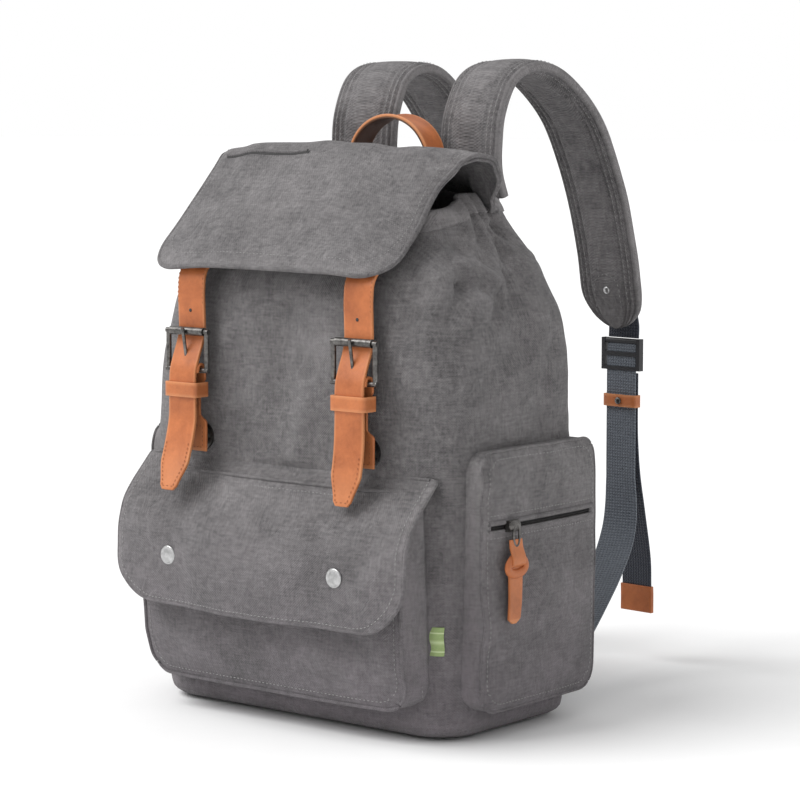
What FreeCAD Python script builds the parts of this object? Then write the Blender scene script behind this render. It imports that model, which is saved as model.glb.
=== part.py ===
import FreeCAD, Part
import math
import os
import re
import Sketcher
from FreeCAD import Matrix, Placement, Rotation, Vector

# Canvas backpack with a buckled top flap, a snap-down front pocket and two zipped side pockets.
# +Z is up, the front faces -Y, +X is the side seen on the right from the front.
# The origin is the middle of the underside. Lengths are millimetres, angles degrees.

doc = FreeCAD.newDocument("travel_backpack")
sheet = doc.addObject("Spreadsheet::Sheet", "sizes")

DIMENSIONS = {
    # sack: widths and depths at the base, chest, shoulder, neck and mouth
    "bag_width": 300, "bag_height": 366, "canvas": 1.8, "sew_gap": 0.3,
    "base_front": 72, "base_back": 72, "base_inset": 5, "base_corner": 30, "base_plate": 3,
    "chest_drop": 141, "chest_front": 86, "chest_back": 79, "chest_corner": 40,
    "shoulder_drop": 76, "shoulder_inset": 4, "shoulder_front": 84, "shoulder_back": 79,
    "shoulder_corner": 44,
    "neck_drop": 31, "neck_inset": 22, "neck_front": 77, "neck_back": 74, "neck_corner": 46,
    "mouth_inset": 44, "mouth_front": 50, "mouth_back": 66, "mouth_corner": 42,
    "panel_seam": 60, "lining_cloth": 0.6, "lining_gap": 0.15,
    "stiffener_thickness": 3, "stiffener_margin": 8,
    "hem_height": 12, "hem_proud": 1.5, "hem_cloth": 4,
    "eyelet_radius": 7, "eyelet_hole": 3.5, "eyelet_thickness": 1.2, "eyelet_pitch": 56,
    # padded back and the sleeve inside it
    "back_pad_width": 230, "back_pad_bottom": 40, "back_pad_top_drop": 66, "back_pad_thickness": 7,
    "sleeve_width": 226, "sleeve_bottom": 12, "sleeve_top_drop": 86, "sleeve_room": 15, "sleeve_cloth": 1.5,
    # front pocket and its snap-down flap
    "pocket_width": 254, "pocket_bottom": 26, "pocket_top_drop": 11, "pocket_cloth": 2,
    "pocket_base_depth": 26, "pocket_low_depth": 33, "pocket_mid_depth": 34, "pocket_high_depth": 27,
    "pocket_low_rise": 34, "pocket_high_drop": 24, "pocket_mouth": 12,
    "pocket_flap_width": 282, "flap_cloth": 3, "pocket_seam_drop": 145, "pocket_fold_drop": 31,
    "pocket_flap_reach": 15, "pocket_flap_out": 31, "pocket_hinge_gap": 2.5, "pocket_flap_snap_out": 45.5,
    "pocket_flap_length": 107, "pocket_flap_end_out": 46, "pocket_flap_corner": 28,
    "snap_spread": 82, "snap_drop": 70, "snap_radius": 7.8, "snap_cap": 2.4, "snap_stud_radius": 4.5,
    "snap_stud": 4, "snap_socket": 2,
    # side pockets
    "side_pocket_out": 16, "side_pocket_half": 70, "side_pocket_mid": 12, "side_pocket_bottom": 22,
    "side_pocket_drop": 13,
    "side_pocket_cloth": 1.8, "zip_drop": 54, "zip_slot": 7, "zip_half": 62, "zip_coil": 4.6,
    "zip_coil_out": 1.8, "zip_tape": 26, "zip_tape_cloth": 0.8, "zip_fit": 0.2,
    "slider_length": 12, "slider_height": 8.4, "slider_out": 4.2, "slider_rest": -29,
    "pull_gap": 0.6, "pull_pivot_drop": 1.2, "pull_thickness": 2.4, "pull_link_width": 5,
    "pull_link_length": 24,
    "pull_head_radius": 8.5, "pull_head_drop": 31, "pull_tail_width": 9, "pull_tail_drop": 72,
    "tab_width": 11.6, "tab_low": 66, "tab_high": 84, "tab_cloth": 1,
    # top flap, its yoke and the carry handle
    "flap_half": 131, "flap_rise": 61, "flap_crest": 12, "flap_hang": 28, "flap_overhang": 20,
    "flap_corner": 30, "flap_canvas": 2.4, "flap_hinge": 12, "flap_hinge_drop": 3, "flap_hinge_gap": 5,
    "yoke_half": 98, "yoke_cloth": 3.2, "yoke_gap": 8, "yoke_bend": 46, "yoke_bend_rise": 34,
    "flap_zip_length": 110, "flap_zip_width": 6, "flap_zip_proud": 1.2, "flap_zip_left": 125,
    "flap_zip_back": 6,
    "handle_radius": 40, "handle_leather": 3.6, "handle_width": 22, "handle_place": 45, "handle_rise": 48,
    # buckled flap straps
    "strap_spread": 82, "strap_fold": 1.4, "strap_bend_drop": 26, "strap_end_drop": 54,
    "strap_cut_reach": 30, "strap_width": 30, "leather": 2.4, "strap_sewn": 16, "strap_tail": 109,
    "strap_tip_width": 20, "strap_taper": 26, "strap_clip": 6, "strap_tip_out": 7, "strap_straight": 82,
    "buckle_drop": 62, "buckle_room": 2.5, "buckle_height": 33, "buckle_wire": 4, "buckle_deep": 4,
    "roller_radius": 3.2, "roller_fit": 0.06, "roller_over": 2,
    "prong_wire": 2.6, "prong_eye": 3.6, "prong_slot": 5, "prong_slot_high": 4, "prong_slot_low": 12,
    "prong_room": 0.4,
    "strap_hole": 4, "strap_hole_rise": 31,
    "chape_fit": 0.1, "chape_leather": 2, "chape_waist": 14, "chape_waist_drop": 8,
    "chape_slot_drop": 7, "chape_slot_rise": 8, "chape_end_drop": 40,
    "chape_length": 62, "chape_slot": 5,
    "keeper_height": 11, "keeper_drop": 29, "keeper_leather": 1.8, "keeper_fit": 0.5,
    "magnet_radius": 8, "magnet_gap": 0.4, "magnet_seat": 11, "magnet_cup": 5.5, "magnet_washer": 2,
    # padded shoulder straps with webbing
    "shoulder_spread": 54, "shoulder_splay": 5, "shoulder_width": 60, "shoulder_thickness": 10,
    "shoulder_root": 78, "shoulder_root_rise": 24, "foam_thickness": 6, "foam_margin": 5,
    "lock_drop": 98, "lock_window": 9, "lock_rail": 3.5, "lock_foot": 3, "lock_behind": 3,
    "lock_width": 40, "lock_height": 24, "lock_bar": 4.4, "lock_deep": 5, "lock_fit": 0.3,
    "webbing_width": 31, "webbing": 1.6, "webbing_run": 80, "webbing_open": 6, "linkage_gap": 14,
    "tip_leather": 1.6, "tip_height": 24,
    "web_keeper_drop": 14, "web_keeper_height": 10, "anchor_splay": 14.6, "anchor_drop": 8,
    "anchor_gap": 0.8, "anchor_tab": 10, "anchor_height": 22, "anchor_width": 36,
    "anchor_reach": 12, "anchor_cloth": 3,
}
for row, (alias, number) in enumerate(DIMENSIONS.items(), 1):
    sheet.set(f"A{row}", alias)
    sheet.set(f"B{row}", str(number))
    sheet.setAlias(f"B{row}", alias)
doc.recompute()

sub_parts = []


def linked(text):
    """An expression on the sheet, from one that names its cells alone."""
    return re.sub(r"[a-z][a-z_]+", lambda word: "sizes." + word[0] if word[0] in DIMENSIONS else word[0], str(text))


def value(text):
    return float(sheet.evalExpression(linked(text)))


def bind(feature, **expressions):
    for name, text in expressions.items():
        feature.setExpression(name.replace("__", "."), linked(text))


def finished(feature, label):
    feature.Label = label
    sub_parts.append(feature)
    return feature


# ---------------------------------------------------------------- sketches

PLANES = {"XY": ("XY_Plane", 1), "XZ": ("XZ_Plane", -1), "YZ": ("YZ_Plane", 1)}


def pin(sketch, piece, end, text, across):
    """Ties one point of a sketch to a size, measured from the sketch's origin."""
    number = value(text)
    kind = "DistanceX" if across else "DistanceY"
    if abs(number) < 1e-6:
        sketch.addConstraint(Sketcher.Constraint("PointOnObject", piece, end, -2 if across else -1))
    elif number > 0:
        index = sketch.addConstraint(Sketcher.Constraint(kind, -1, 1, piece, end, number))
        sketch.setExpression(f"Constraints[{index}]", linked(text))
    else:
        index = sketch.addConstraint(Sketcher.Constraint(kind, piece, end, -1, 1, -number))
        sketch.setExpression(f"Constraints[{index}]", linked(f"-({text})"))


def polygon(sketch, corners):
    points = [Vector(value(across), value(up), 0) for across, up in corners]
    first = sketch.GeometryCount
    count = len(points)
    for index, point in enumerate(points):
        sketch.addGeometry(Part.LineSegment(point, points[(index + 1) % count]))
    for index in range(count):
        sketch.addConstraint(Sketcher.Constraint("Coincident", first + index, 2, first + (index + 1) % count, 1))
    for index, (across, up) in enumerate(corners):
        pin(sketch, first + index, 1, across, True)
        pin(sketch, first + index, 1, up, False)


def rounded_outline(sketch, left, right, near, far, radius):
    """Four sides and four equal round corners."""
    x0, x1, y0, y1, r = [value(text) for text in (left, right, near, far, radius)]
    sides = [((x0 + r, y0), (x1 - r, y0)), ((x1, y0 + r), (x1, y1 - r)),
             ((x1 - r, y1), (x0 + r, y1)), ((x0, y1 - r), (x0, y0 + r))]
    centres = [(x1 - r, y0 + r), (x1 - r, y1 - r), (x0 + r, y1 - r), (x0 + r, y0 + r)]
    first = sketch.GeometryCount
    for turn, ((start, end), centre) in enumerate(zip(sides, centres)):
        sketch.addGeometry(Part.LineSegment(Vector(*start, 0), Vector(*end, 0)))
        circle = Part.Circle(Vector(*centre, 0), Vector(0, 0, 1), r)
        sketch.addGeometry(Part.ArcOfCircle(circle, math.pi * (turn - 1) / 2, math.pi * turn / 2))
    for turn in range(4):
        side, arc, following = first + 2 * turn, first + 2 * turn + 1, first + (2 * turn + 2) % 8
        sketch.addConstraint(Sketcher.Constraint("Tangent", side, 2, arc, 1))
        sketch.addConstraint(Sketcher.Constraint("Tangent", arc, 2, following, 1))
        sketch.addConstraint(Sketcher.Constraint("Horizontal" if turn % 2 == 0 else "Vertical", side))
        if turn:
            sketch.addConstraint(Sketcher.Constraint("Equal", first + 1, arc))
    index = sketch.addConstraint(Sketcher.Constraint("Radius", first + 1, r))
    sketch.setExpression(f"Constraints[{index}]", linked(radius))
    pin(sketch, first, 1, near, False)
    pin(sketch, first + 2, 1, right, True)
    pin(sketch, first + 4, 1, far, False)
    pin(sketch, first + 6, 1, left, True)


def sketch_on(body, plane, offset):
    role, _ = PLANES[plane]
    support = [feature for feature in body.Origin.OriginFeatures if feature.Role == role][0]
    sketch = body.newObject("Sketcher::SketchObject", "outline")
    sketch.AttachmentSupport = (support, [""])
    sketch.MapMode = "FlatFace"
    bind(sketch, AttachmentOffset__Base__z=offset)
    return sketch


def add_slab(body, plane, draw, start, end, cut=False):
    """Pads or cuts an outline between two places along the world axis that its plane faces."""
    facing = PLANES[plane][1]
    sketch = sketch_on(body, plane, start if facing > 0 else f"-({end})")
    draw(sketch)
    feature = body.newObject("PartDesign::Pocket" if cut else "PartDesign::Pad", "cut" if cut else "slab")
    feature.Profile = sketch
    if cut:
        feature.Reversed = True
    bind(feature, Length=f"({end}) - ({start})")
    before = 0 if body.Tip is None or not cut else body.Shape.Volume
    doc.recompute()
    if cut and not feature.Shape.Volume < before - 1e-6:
        raise SystemExit(f"{body.Label}: a cut removes nothing")
    return feature


def slab(label, plane, corners, start, end):
    body = doc.addObject("PartDesign::Body", label)
    add_slab(body, plane, lambda sketch: polygon(sketch, corners), start, end)
    return finished(body, label)


def cut_slab(body, plane, corners, start, end):
    return add_slab(body, plane, lambda sketch: polygon(sketch, corners), start, end, cut=True)


def cut_round(body, plane, across, up, radius, start, end):
    def circle(sketch):
        sketch.addGeometry(Part.Circle(Vector(value(across), value(up), 0), Vector(0, 0, 1), value(radius)))
        index = sketch.addConstraint(Sketcher.Constraint("Radius", 0, value(radius)))
        sketch.setExpression(f"Constraints[{index}]", linked(radius))
        pin(sketch, 0, 3, across, True)
        pin(sketch, 0, 3, up, False)
    return add_slab(body, plane, circle, start, end, cut=True)


def rectangle(left, right, low, high):
    return [(left, low), (right, low), (right, high), (left, high)]


def round_corners(body, radius, thickness, keep):
    """Rounds a plate's corners: its short edges, of the plate's thickness, that keep() accepts."""
    tip = body.Tip
    names = [f"Edge{index}" for index, edge in enumerate(tip.Shape.Edges, 1)
             if abs(edge.Length - thickness) < 0.35 * thickness and keep(edge.CenterOfMass)]
    fillet = body.newObject("PartDesign::Fillet", "corners")
    fillet.Base = (tip, names)
    bind(fillet, Radius=radius)
    doc.recompute()


# ---------------------------------------------------------------- Part solids

def box(name, x0, x1, y0, y1, z0, z1):
    solid = doc.addObject("Part::Box", name)
    bind(solid, Length=f"({x1}) - ({x0})", Width=f"({y1}) - ({y0})", Height=f"({z1}) - ({z0})",
         Placement__Base__x=x0, Placement__Base__y=y0, Placement__Base__z=z0)
    return solid


TURNS = {"X": Rotation(Vector(0, 1, 0), 90), "Y": Rotation(Vector(1, 0, 0), -90), "Z": Rotation()}


def rod(name, axis, radius, x, y, z, length):
    """A cylinder that starts at a point and runs along +X, +Y or +Z."""
    solid = doc.addObject("Part::Cylinder", name)
    solid.Placement = Placement(Vector(), TURNS[axis])
    bind(solid, Radius=radius, Height=length, Placement__Base__x=x, Placement__Base__y=y, Placement__Base__z=z)
    return solid


def cut(name, base, tool):
    feature = doc.addObject("Part::Cut", name)
    feature.Base, feature.Tool = base, tool
    return feature


def common(name, base, tool):
    feature = doc.addObject("Part::Common", name)
    feature.Base, feature.Tool = base, tool
    return feature


def group(name, pieces, kind="Part::Compound"):
    feature = doc.addObject(kind, name)
    if kind == "Part::Compound":
        feature.Links = pieces
    else:
        feature.Shapes = pieces
    return feature


def fuse(name, pieces):
    return group(name, pieces, "Part::MultiFuse")


# ---------------------------------------------------------------- places that pieces share

half = "bag_width / 2"
chest_z = "(bag_height - chest_drop)"
shoulder_z = "(bag_height - shoulder_drop)"
neck_z = "(bag_height - neck_drop)"
flap_top = "(bag_height + flap_rise)"
flap_edge_z = "(bag_height - flap_hang)"
flap_edge_y = "(-(shoulder_front + flap_overhang))"
pocket_seam = f"({flap_edge_z} - pocket_seam_drop)"
pocket_top = f"({pocket_seam} - pocket_top_drop)"
pocket_low = "(pocket_bottom + pocket_low_rise)"
pocket_high = f"({pocket_top} - pocket_high_drop)"
pocket_mid = f"(({pocket_low} + {pocket_high}) / 2)"
flap_fold = f"({pocket_seam} - pocket_fold_drop)"
flap_end = f"({pocket_seam} - pocket_flap_length)"
snap_z = f"({pocket_seam} - snap_drop)"
side_top = f"({chest_z} - side_pocket_drop)"
zip_z = f"({side_top} - zip_drop)"
hinge_z = "(bag_height + flap_rise - flap_hinge_drop)"


def front_y(height):
    return f"(-(base_front + (chest_front - base_front) * ({height}) / {chest_z}))"


def back_y(height):
    return f"(base_back + (chest_back - base_back) * ({height}) / {chest_z})"


SECTIONS = [("0", "base_inset", "base_front", "base_back", "base_corner"),
            (chest_z, "0", "chest_front", "chest_back", "chest_corner"),
            (shoulder_z, "shoulder_inset", "shoulder_front", "shoulder_back", "shoulder_corner"),
            (neck_z, "neck_inset", "neck_front", "neck_back", "neck_corner"),
            ("bag_height", "mouth_inset", "mouth_front", "mouth_back", "mouth_corner")]


def ring_sketch(name, section, inside, height):
    """One level of the sack, drawn inside its outer face."""
    _, inset, front, back, corner = section
    sketch = doc.addObject("Sketcher::SketchObject", name)
    bind(sketch, Placement__Base__z=height)
    side = f"({half} - {inset} - ({inside}))"
    rounded_outline(sketch, f"-{side}", side, f"-({front} - ({inside}))", f"({back} - ({inside}))",
                    f"({corner} - ({inside}))")
    return sketch


def sack(name, inside, floor):
    """The sack's closed form, its walls moved in by one distance and its floor at a height."""
    loft = doc.addObject("Part::Loft", name)
    levels = [ring_sketch(f"{name}_{row}", section, inside, floor if row == 0 else section[0])
              for row, section in enumerate(SECTIONS)]
    loft.Sections = levels
    loft.Solid, loft.Ruled = True, True
    return loft


# ---------------------------------------------------------------- sack

def make_sack():
    outer = sack("sack_outside", "0", "base_plate")
    inner = sack("sack_inside", "canvas", "base_plate")
    walls = cut("sack_walls", outer, inner)
    reach = f"({half})"
    top = "(bag_height + 10)"
    wedges = {"side_panel_right": [("panel_seam", "0"), (f"panel_seam + {reach}", f"-{reach}"),
                                   (f"panel_seam + {reach}", reach)],
              "side_panel_left": [("-panel_seam", "0"), (f"-panel_seam - {reach}", reach),
                                  (f"-panel_seam - {reach}", f"-{reach}")],
              "front_panel": [("panel_seam", "0"), ("-panel_seam", "0"), (f"-panel_seam - {reach}", f"-{reach}"),
                              (f"panel_seam + {reach}", f"-{reach}")],
              "back_panel": [("panel_seam", "0"), (f"panel_seam + {reach}", reach),
                             (f"-panel_seam - {reach}", reach), ("-panel_seam", "0")]}
    for label, corners in wedges.items():
        cutter = doc.addObject("PartDesign::Body", label + "_share")
        add_slab(cutter, "XY", lambda sketch: polygon(sketch, corners), "0", top)
        finished(common(label, walls, cutter), label)

    lining_out = sack("lining_outside", "canvas + lining_gap", "base_plate + lining_gap")
    lining_in = sack("lining_inside", "canvas + lining_gap + lining_cloth", "base_plate + lining_gap + lining_cloth")
    finished(cut("lining", lining_out, lining_in), "lining")

    base = doc.addObject("PartDesign::Body", "base_panel")
    side = f"({half} - base_inset)"
    add_slab(base, "XY", lambda sketch: rounded_outline(
        sketch, f"-{side}", side, "-base_front", "base_back", "base_corner"), "0", "base_plate")
    finished(base, "base_panel")

    stiffener = doc.addObject("PartDesign::Body", "base_stiffener")
    inner_side = f"({half} - base_inset - stiffener_margin)"
    floor = "(base_plate + 2 * lining_gap + lining_cloth)"
    add_slab(stiffener, "XY", lambda sketch: rounded_outline(
        sketch, f"-{inner_side}", inner_side, "-(base_front - stiffener_margin)", "(base_back - stiffener_margin)",
        "(base_corner - stiffener_margin)"), floor, f"{floor} + stiffener_thickness")
    finished(stiffener, "base_stiffener")

    hem = doc.addObject("PartDesign::Body", "mouth_hem")
    mouth = f"({half} - mouth_inset)"
    for cutting, out in ((False, "hem_proud"), (True, "(hem_proud - hem_cloth)")):
        draw = lambda sketch: rounded_outline(
            sketch, f"-({mouth} + {out})", f"({mouth} + {out})", f"-(mouth_front + {out})", f"(mouth_back + {out})",
            f"(mouth_corner + {out})")
        add_slab(hem, "XY", draw, "bag_height", "bag_height + hem_height", cut=cutting)
    finished(hem, "mouth_hem")

    eyelets = []
    for number in (-1, 0, 1):
        place = dict(x=f"{number} * eyelet_pitch", y="-(mouth_front + hem_proud + eyelet_thickness)",
                     z="(bag_height + hem_height / 2 - 0.5 * (eyelet_radius - hem_height / 2))")
        ring = rod("eyelet_ring", "Y", "(hem_height / 2 - 1)", length="eyelet_thickness", **place)
        hole = rod("eyelet_hole_rod", "Y", "eyelet_hole", length="eyelet_thickness", **place)
        eyelets.append(cut("eyelet", ring, hole))
    finished(group("mouth_eyelets", eyelets), "mouth_eyelets")


def make_back():
    low, high = "back_pad_bottom", "(bag_height - back_pad_top_drop)"
    corners = [(f"{back_y(low)} + sew_gap", low), (f"{back_y(low)} + back_pad_thickness", low),
               ("chest_back + back_pad_thickness", chest_z), ("shoulder_back + back_pad_thickness", high),
               ("shoulder_back + sew_gap", high), ("chest_back + sew_gap", chest_z)]
    pad = slab("back_pad", "YZ", corners, "-back_pad_width / 2", "back_pad_width / 2")
    round_corners(pad, "base_corner - stiffener_margin", value("back_pad_thickness - sew_gap"), lambda centre: True)

    wall = "(canvas + 2 * lining_gap + lining_cloth)"
    face = f"({back_y('sleeve_bottom')} - {wall})"
    top = "(bag_height - sleeve_top_drop)"
    room = f"({face} - sleeve_room)"
    sleeve = slab("laptop_sleeve", "YZ", rectangle(f"{room} - sleeve_cloth", face, "sleeve_bottom", top),
                  "-sleeve_width / 2", "sleeve_width / 2")
    cut_slab(sleeve, "YZ", rectangle(room, f"{face} + 1", "sleeve_bottom + sleeve_cloth", f"{top} + 1"),
             "-sleeve_width / 2 + sleeve_cloth", "sleeve_width / 2 - sleeve_cloth")


def make_front_pocket():
    bottom, top = "pocket_bottom", pocket_top
    levels = [(bottom, "pocket_base_depth"), (pocket_low, "pocket_low_depth"), (pocket_mid, "pocket_mid_depth"),
              (pocket_high, "pocket_high_depth"), (top, "pocket_mouth")]
    outside = [(f"{front_y(bottom)} - sew_gap", bottom)]
    outside += [(f"{front_y(level)} - {depth}", level) for level, depth in levels]
    outside += [(f"{front_y(top)} - sew_gap", top)]
    pocket = slab("front_pocket_body", "YZ", outside, "-pocket_width / 2", "pocket_width / 2")
    inside = [(f"{front_y(bottom)} + 1", f"{bottom} + pocket_cloth")]
    inside += [(f"{front_y(level)} - {depth} + pocket_cloth", f"{level} + pocket_cloth" if row == 0 else level)
               for row, (level, depth) in enumerate(levels)]
    inside += [(f"{front_y(top)} - pocket_mouth + pocket_cloth", f"{top} + 1"), (f"{front_y(top)} + 1", f"{top} + 1")]
    cut_slab(pocket, "YZ", inside, "-pocket_width / 2 + pocket_cloth", "pocket_width / 2 - pocket_cloth")

    seam, fold = pocket_seam, flap_fold
    seam_y, fold_y = f"({front_y(seam)} - sew_gap)", f"({front_y(fold)} - pocket_flap_out)"
    bend = f"({pocket_seam} - flap_cloth)"
    bend_y = f"({front_y(bend)} - pocket_flap_reach)"
    slab("pocket_flap_band", "YZ",
         [(seam_y, seam), (bend_y, bend), (fold_y, fold), (f"{fold_y} + flap_cloth", fold),
          (f"{bend_y} + flap_cloth", f"{bend} - flap_cloth"), (seam_y, f"{seam} - flap_cloth")],
         "-pocket_flap_width / 2", "pocket_flap_width / 2")

    start = f"({flap_fold} - 2 * pocket_hinge_gap)"
    snap_y = f"({front_y(snap_z)} - pocket_flap_snap_out)"
    end_y = f"({front_y(flap_end)} - pocket_flap_end_out)"
    start_y = f"({fold_y} - pocket_hinge_gap)"
    flap = slab("pocket_flap", "YZ",
                [(start_y, start), (snap_y, f"{snap_z} + snap_radius"), (snap_y, f"{snap_z} - snap_radius"),
                 (end_y, flap_end), (f"{end_y} + flap_cloth", flap_end),
                 (f"{snap_y} + flap_cloth", f"{snap_z} - snap_radius"),
                 (f"{snap_y} + flap_cloth", f"{snap_z} + snap_radius"), (f"{start_y} + flap_cloth", start)],
                "-pocket_flap_width / 2", "pocket_flap_width / 2")
    round_corners(flap, "pocket_flap_corner", value("flap_cloth"),
                  lambda centre: centre.z < value(flap_end) + 1)

    caps, studs = [], []
    pocket_face = f"({front_y(snap_z)} - pocket_mid_depth)"
    for side in (-1, 1):
        x = f"({side} * snap_spread)"
        cap = rod("snap_cap", "Y", "snap_radius", x, f"{snap_y} - snap_cap", snap_z, "snap_cap")
        socket = rod("snap_socket", "Y", "snap_stud_radius + 1.5", x, f"{snap_y} + flap_cloth", snap_z,
                     "snap_socket")
        caps += [cap, socket]
        studs.append(rod("snap_stud", "Y", "snap_stud_radius", x, f"{pocket_face} - snap_stud", snap_z,
                         "snap_stud"))
    finished(group("snap_caps", caps), "snap_caps")
    finished(group("pocket_studs", studs), "pocket_studs")

    corner_y = f"({front_y('tab_high')} - sew_gap - tab_cloth)"
    finished(box("care_tab", "pocket_width / 2 + sew_gap", "pocket_width / 2 + sew_gap + tab_width",
                 corner_y, f"{corner_y} + tab_cloth", "tab_low", "tab_high"), "care_tab")


def make_side_pocket(side, name):
    near, far = f"({half} + sew_gap)", f"({half} + side_pocket_out)"

    def across(low, high):
        return (low, high) if side > 0 else (f"-({high})", f"-({low})")

    reach = "side_pocket_half"
    pocket = slab(f"side_pocket_{name}", "YZ", rectangle(f"side_pocket_mid - {reach}", f"side_pocket_mid + {reach}", "side_pocket_bottom", side_top),
                  *across(near, far))
    inner = f"({reach} - side_pocket_cloth)"
    cut_slab(pocket, "YZ", rectangle(f"side_pocket_mid - {inner}", f"side_pocket_mid + {inner}", "side_pocket_bottom + side_pocket_cloth",
                                     f"{side_top} - side_pocket_cloth"),
             *across(f"{near} - 1", f"{far} - side_pocket_cloth"))
    slot = rectangle("side_pocket_mid - zip_half", "side_pocket_mid + zip_half", f"{zip_z} - zip_slot / 2", f"{zip_z} + zip_slot / 2")
    cut_slab(pocket, "YZ", slot, *across(f"{far} - side_pocket_cloth - 1", f"{far} + 1"))

    tape_x = f"({far} - side_pocket_cloth)"
    tape = box("zip_tape_" + name, *across(f"{tape_x} - zip_tape_cloth", tape_x), "side_pocket_mid - zip_half - 2", "side_pocket_mid + zip_half + 2",
               f"{zip_z} - zip_tape / 2", f"{zip_z} + zip_tape / 2")
    coil = box("zip_coil_" + name, *across(tape_x, f"{tape_x} + zip_coil_out"), "side_pocket_mid - zip_half + 1", "side_pocket_mid + zip_half - 1",
               f"{zip_z} - zip_coil / 2", f"{zip_z} + zip_coil / 2")
    finished(fuse(f"side_zip_{name}", [tape, coil]), f"side_zip_{name}")

    slider_x = f"({far} + zip_fit)"
    finished(box(f"zip_slider_{name}", *across(slider_x, f"{slider_x} + slider_out"),
                 "slider_rest - slider_length / 2", "slider_rest + slider_length / 2",
                 f"{zip_z} - slider_height / 2", f"{zip_z} + slider_height / 2"), f"zip_slider_{name}")

    pull_x = f"({slider_x} + slider_out + pull_gap)"
    x0, x1 = across(pull_x, f"{pull_x} + pull_thickness")
    middle = "slider_rest"
    link = box("pull_link_" + name, x0, x1, f"{middle} - pull_link_width / 2", f"{middle} + pull_link_width / 2",
               f"{zip_z} - pull_link_length", f"{zip_z} + pull_pivot_drop")
    head = rod("pull_head_" + name, "X", "pull_head_radius", x0, middle, f"{zip_z} - pull_head_drop", "pull_thickness")
    tail = box("pull_tail_" + name, x0, x1, f"{middle} - pull_tail_width / 2", f"{middle} + pull_tail_width / 2",
               f"{zip_z} - pull_tail_drop", f"{zip_z} - pull_head_drop")
    finished(fuse(f"zip_pull_{name}", [link, head, tail]), f"zip_pull_{name}")


# ---------------------------------------------------------------- top flap

def make_flap():
    drop = "flap_canvas"
    rear = "(flap_hinge - flap_hinge_gap)"
    outer = [(rear, flap_top), ("-flap_crest", flap_top), (flap_edge_y, flap_edge_z)]
    slope = math.atan2(value(flap_top) - value(flap_edge_z), -value("flap_crest") - value(flap_edge_y))
    turn, lean = math.sin(slope), math.cos(slope)
    corner = math.tan(slope / 2)

    def layer(label, skip, thickness, shorter):
        """A bent sheet under the flap's outer face, square to it at the front edge."""
        def under(depth):
            return [(rear, f"{flap_top} - ({depth})"),
                    (f"-flap_crest + {corner:.6f} * ({depth})", f"{flap_top} - ({depth})"),
                    (f"{flap_edge_y} + {turn:.6f} * ({depth}) + {lean:.6f} * {shorter}",
                     f"{flap_edge_z} - {lean:.6f} * ({depth}) + {turn:.6f} * {shorter}")]
        top_side, low_side = under(skip), under(f"({skip} + {thickness})")
        body = slab(label, "YZ", top_side + low_side[::-1], f"-(flap_half - {shorter})", f"(flap_half - {shorter})")
        round_corners(body, "flap_corner", value(thickness), lambda centre: centre.y < value(flap_edge_y) + 12)
        return body

    layer("top_flap", "0", "flap_canvas", "0")
    layer("flap_lining", "flap_canvas + lining_gap", "lining_cloth", "canvas")

    neck_y = "(neck_back + hem_proud)"
    end = "(flap_hinge + yoke_gap)"
    end_z = f"({hinge_z} - 2 * flap_hinge_drop - 1)"
    bend_z = "(bag_height + yoke_bend_rise)"
    heel_y = "(mouth_back + hem_proud + sew_gap)"
    heel_z = "(bag_height + hem_height + sew_gap)"
    inner = [(neck_y, f"{neck_z} + 1"), (heel_y, "bag_height - 3"), (heel_y, heel_z),
             (f"{heel_y} - 8", f"{heel_z} + 9"), ("yoke_bend - 1", f"{bend_z} - yoke_cloth"), (end, f"{end_z} - yoke_cloth")]
    outer_side = [(end, end_z), ("yoke_bend", bend_z), (f"{heel_y} - 5.5", f"{heel_z} + 12"),
                  (f"{heel_y} + yoke_cloth", f"{heel_z} + 1"), (f"{heel_y} + yoke_cloth", "bag_height - 3"),
                  (f"{neck_y} + yoke_cloth", f"{neck_z} + 1")]
    slab("flap_yoke", "YZ", inner + outer_side, "-yoke_half", "yoke_half")

    finished(box("flap_zip", "-flap_zip_left", "-flap_zip_left + flap_zip_length",
                 "-flap_zip_back", "-flap_zip_back + flap_zip_width", flap_top, f"{flap_top} + flap_zip_proud"),
             "flap_zip")

    arch_z = "(bag_height + handle_rise)"
    place = dict(x="0", z=arch_z)
    outer_rod = rod("handle_outside", "Y", "handle_radius", y="handle_place - handle_width / 2",
                    length="handle_width", **place)
    inner_rod = rod("handle_inside", "Y", "handle_radius - handle_leather", y="handle_place - handle_width / 2",
                    length="handle_width", **place)
    upper = box("handle_upper", "-handle_radius - 1", "handle_radius + 1", "handle_place - handle_width",
                "handle_place + handle_width", arch_z, f"{arch_z} + handle_radius + 1")
    finished(common("carry_handle", cut("handle_ring", outer_rod, inner_rod), upper), "carry_handle")


# ---------------------------------------------------------------- buckled straps

buckle_z = f"({flap_edge_z} - buckle_drop)"
buckle_y = f"({flap_edge_y} + 1)"
bar_z = f"({buckle_z} + buckle_height / 2 - buckle_wire / 2)"
heel_z = f"({buckle_z} - buckle_height / 2 + buckle_wire / 2)"
buckle_width = "(strap_width + 2 * buckle_room + 2 * buckle_wire)"
roller_length = "(strap_width + 2 * roller_over)"
wrap_radius = "(buckle_wire / 2 + chape_fit + chape_leather)"
tail_y = f"({buckle_y} - {wrap_radius} - sew_gap - leather)"
chape_y = f"({buckle_y} + buckle_wire / 2 + chape_fit)"


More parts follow.
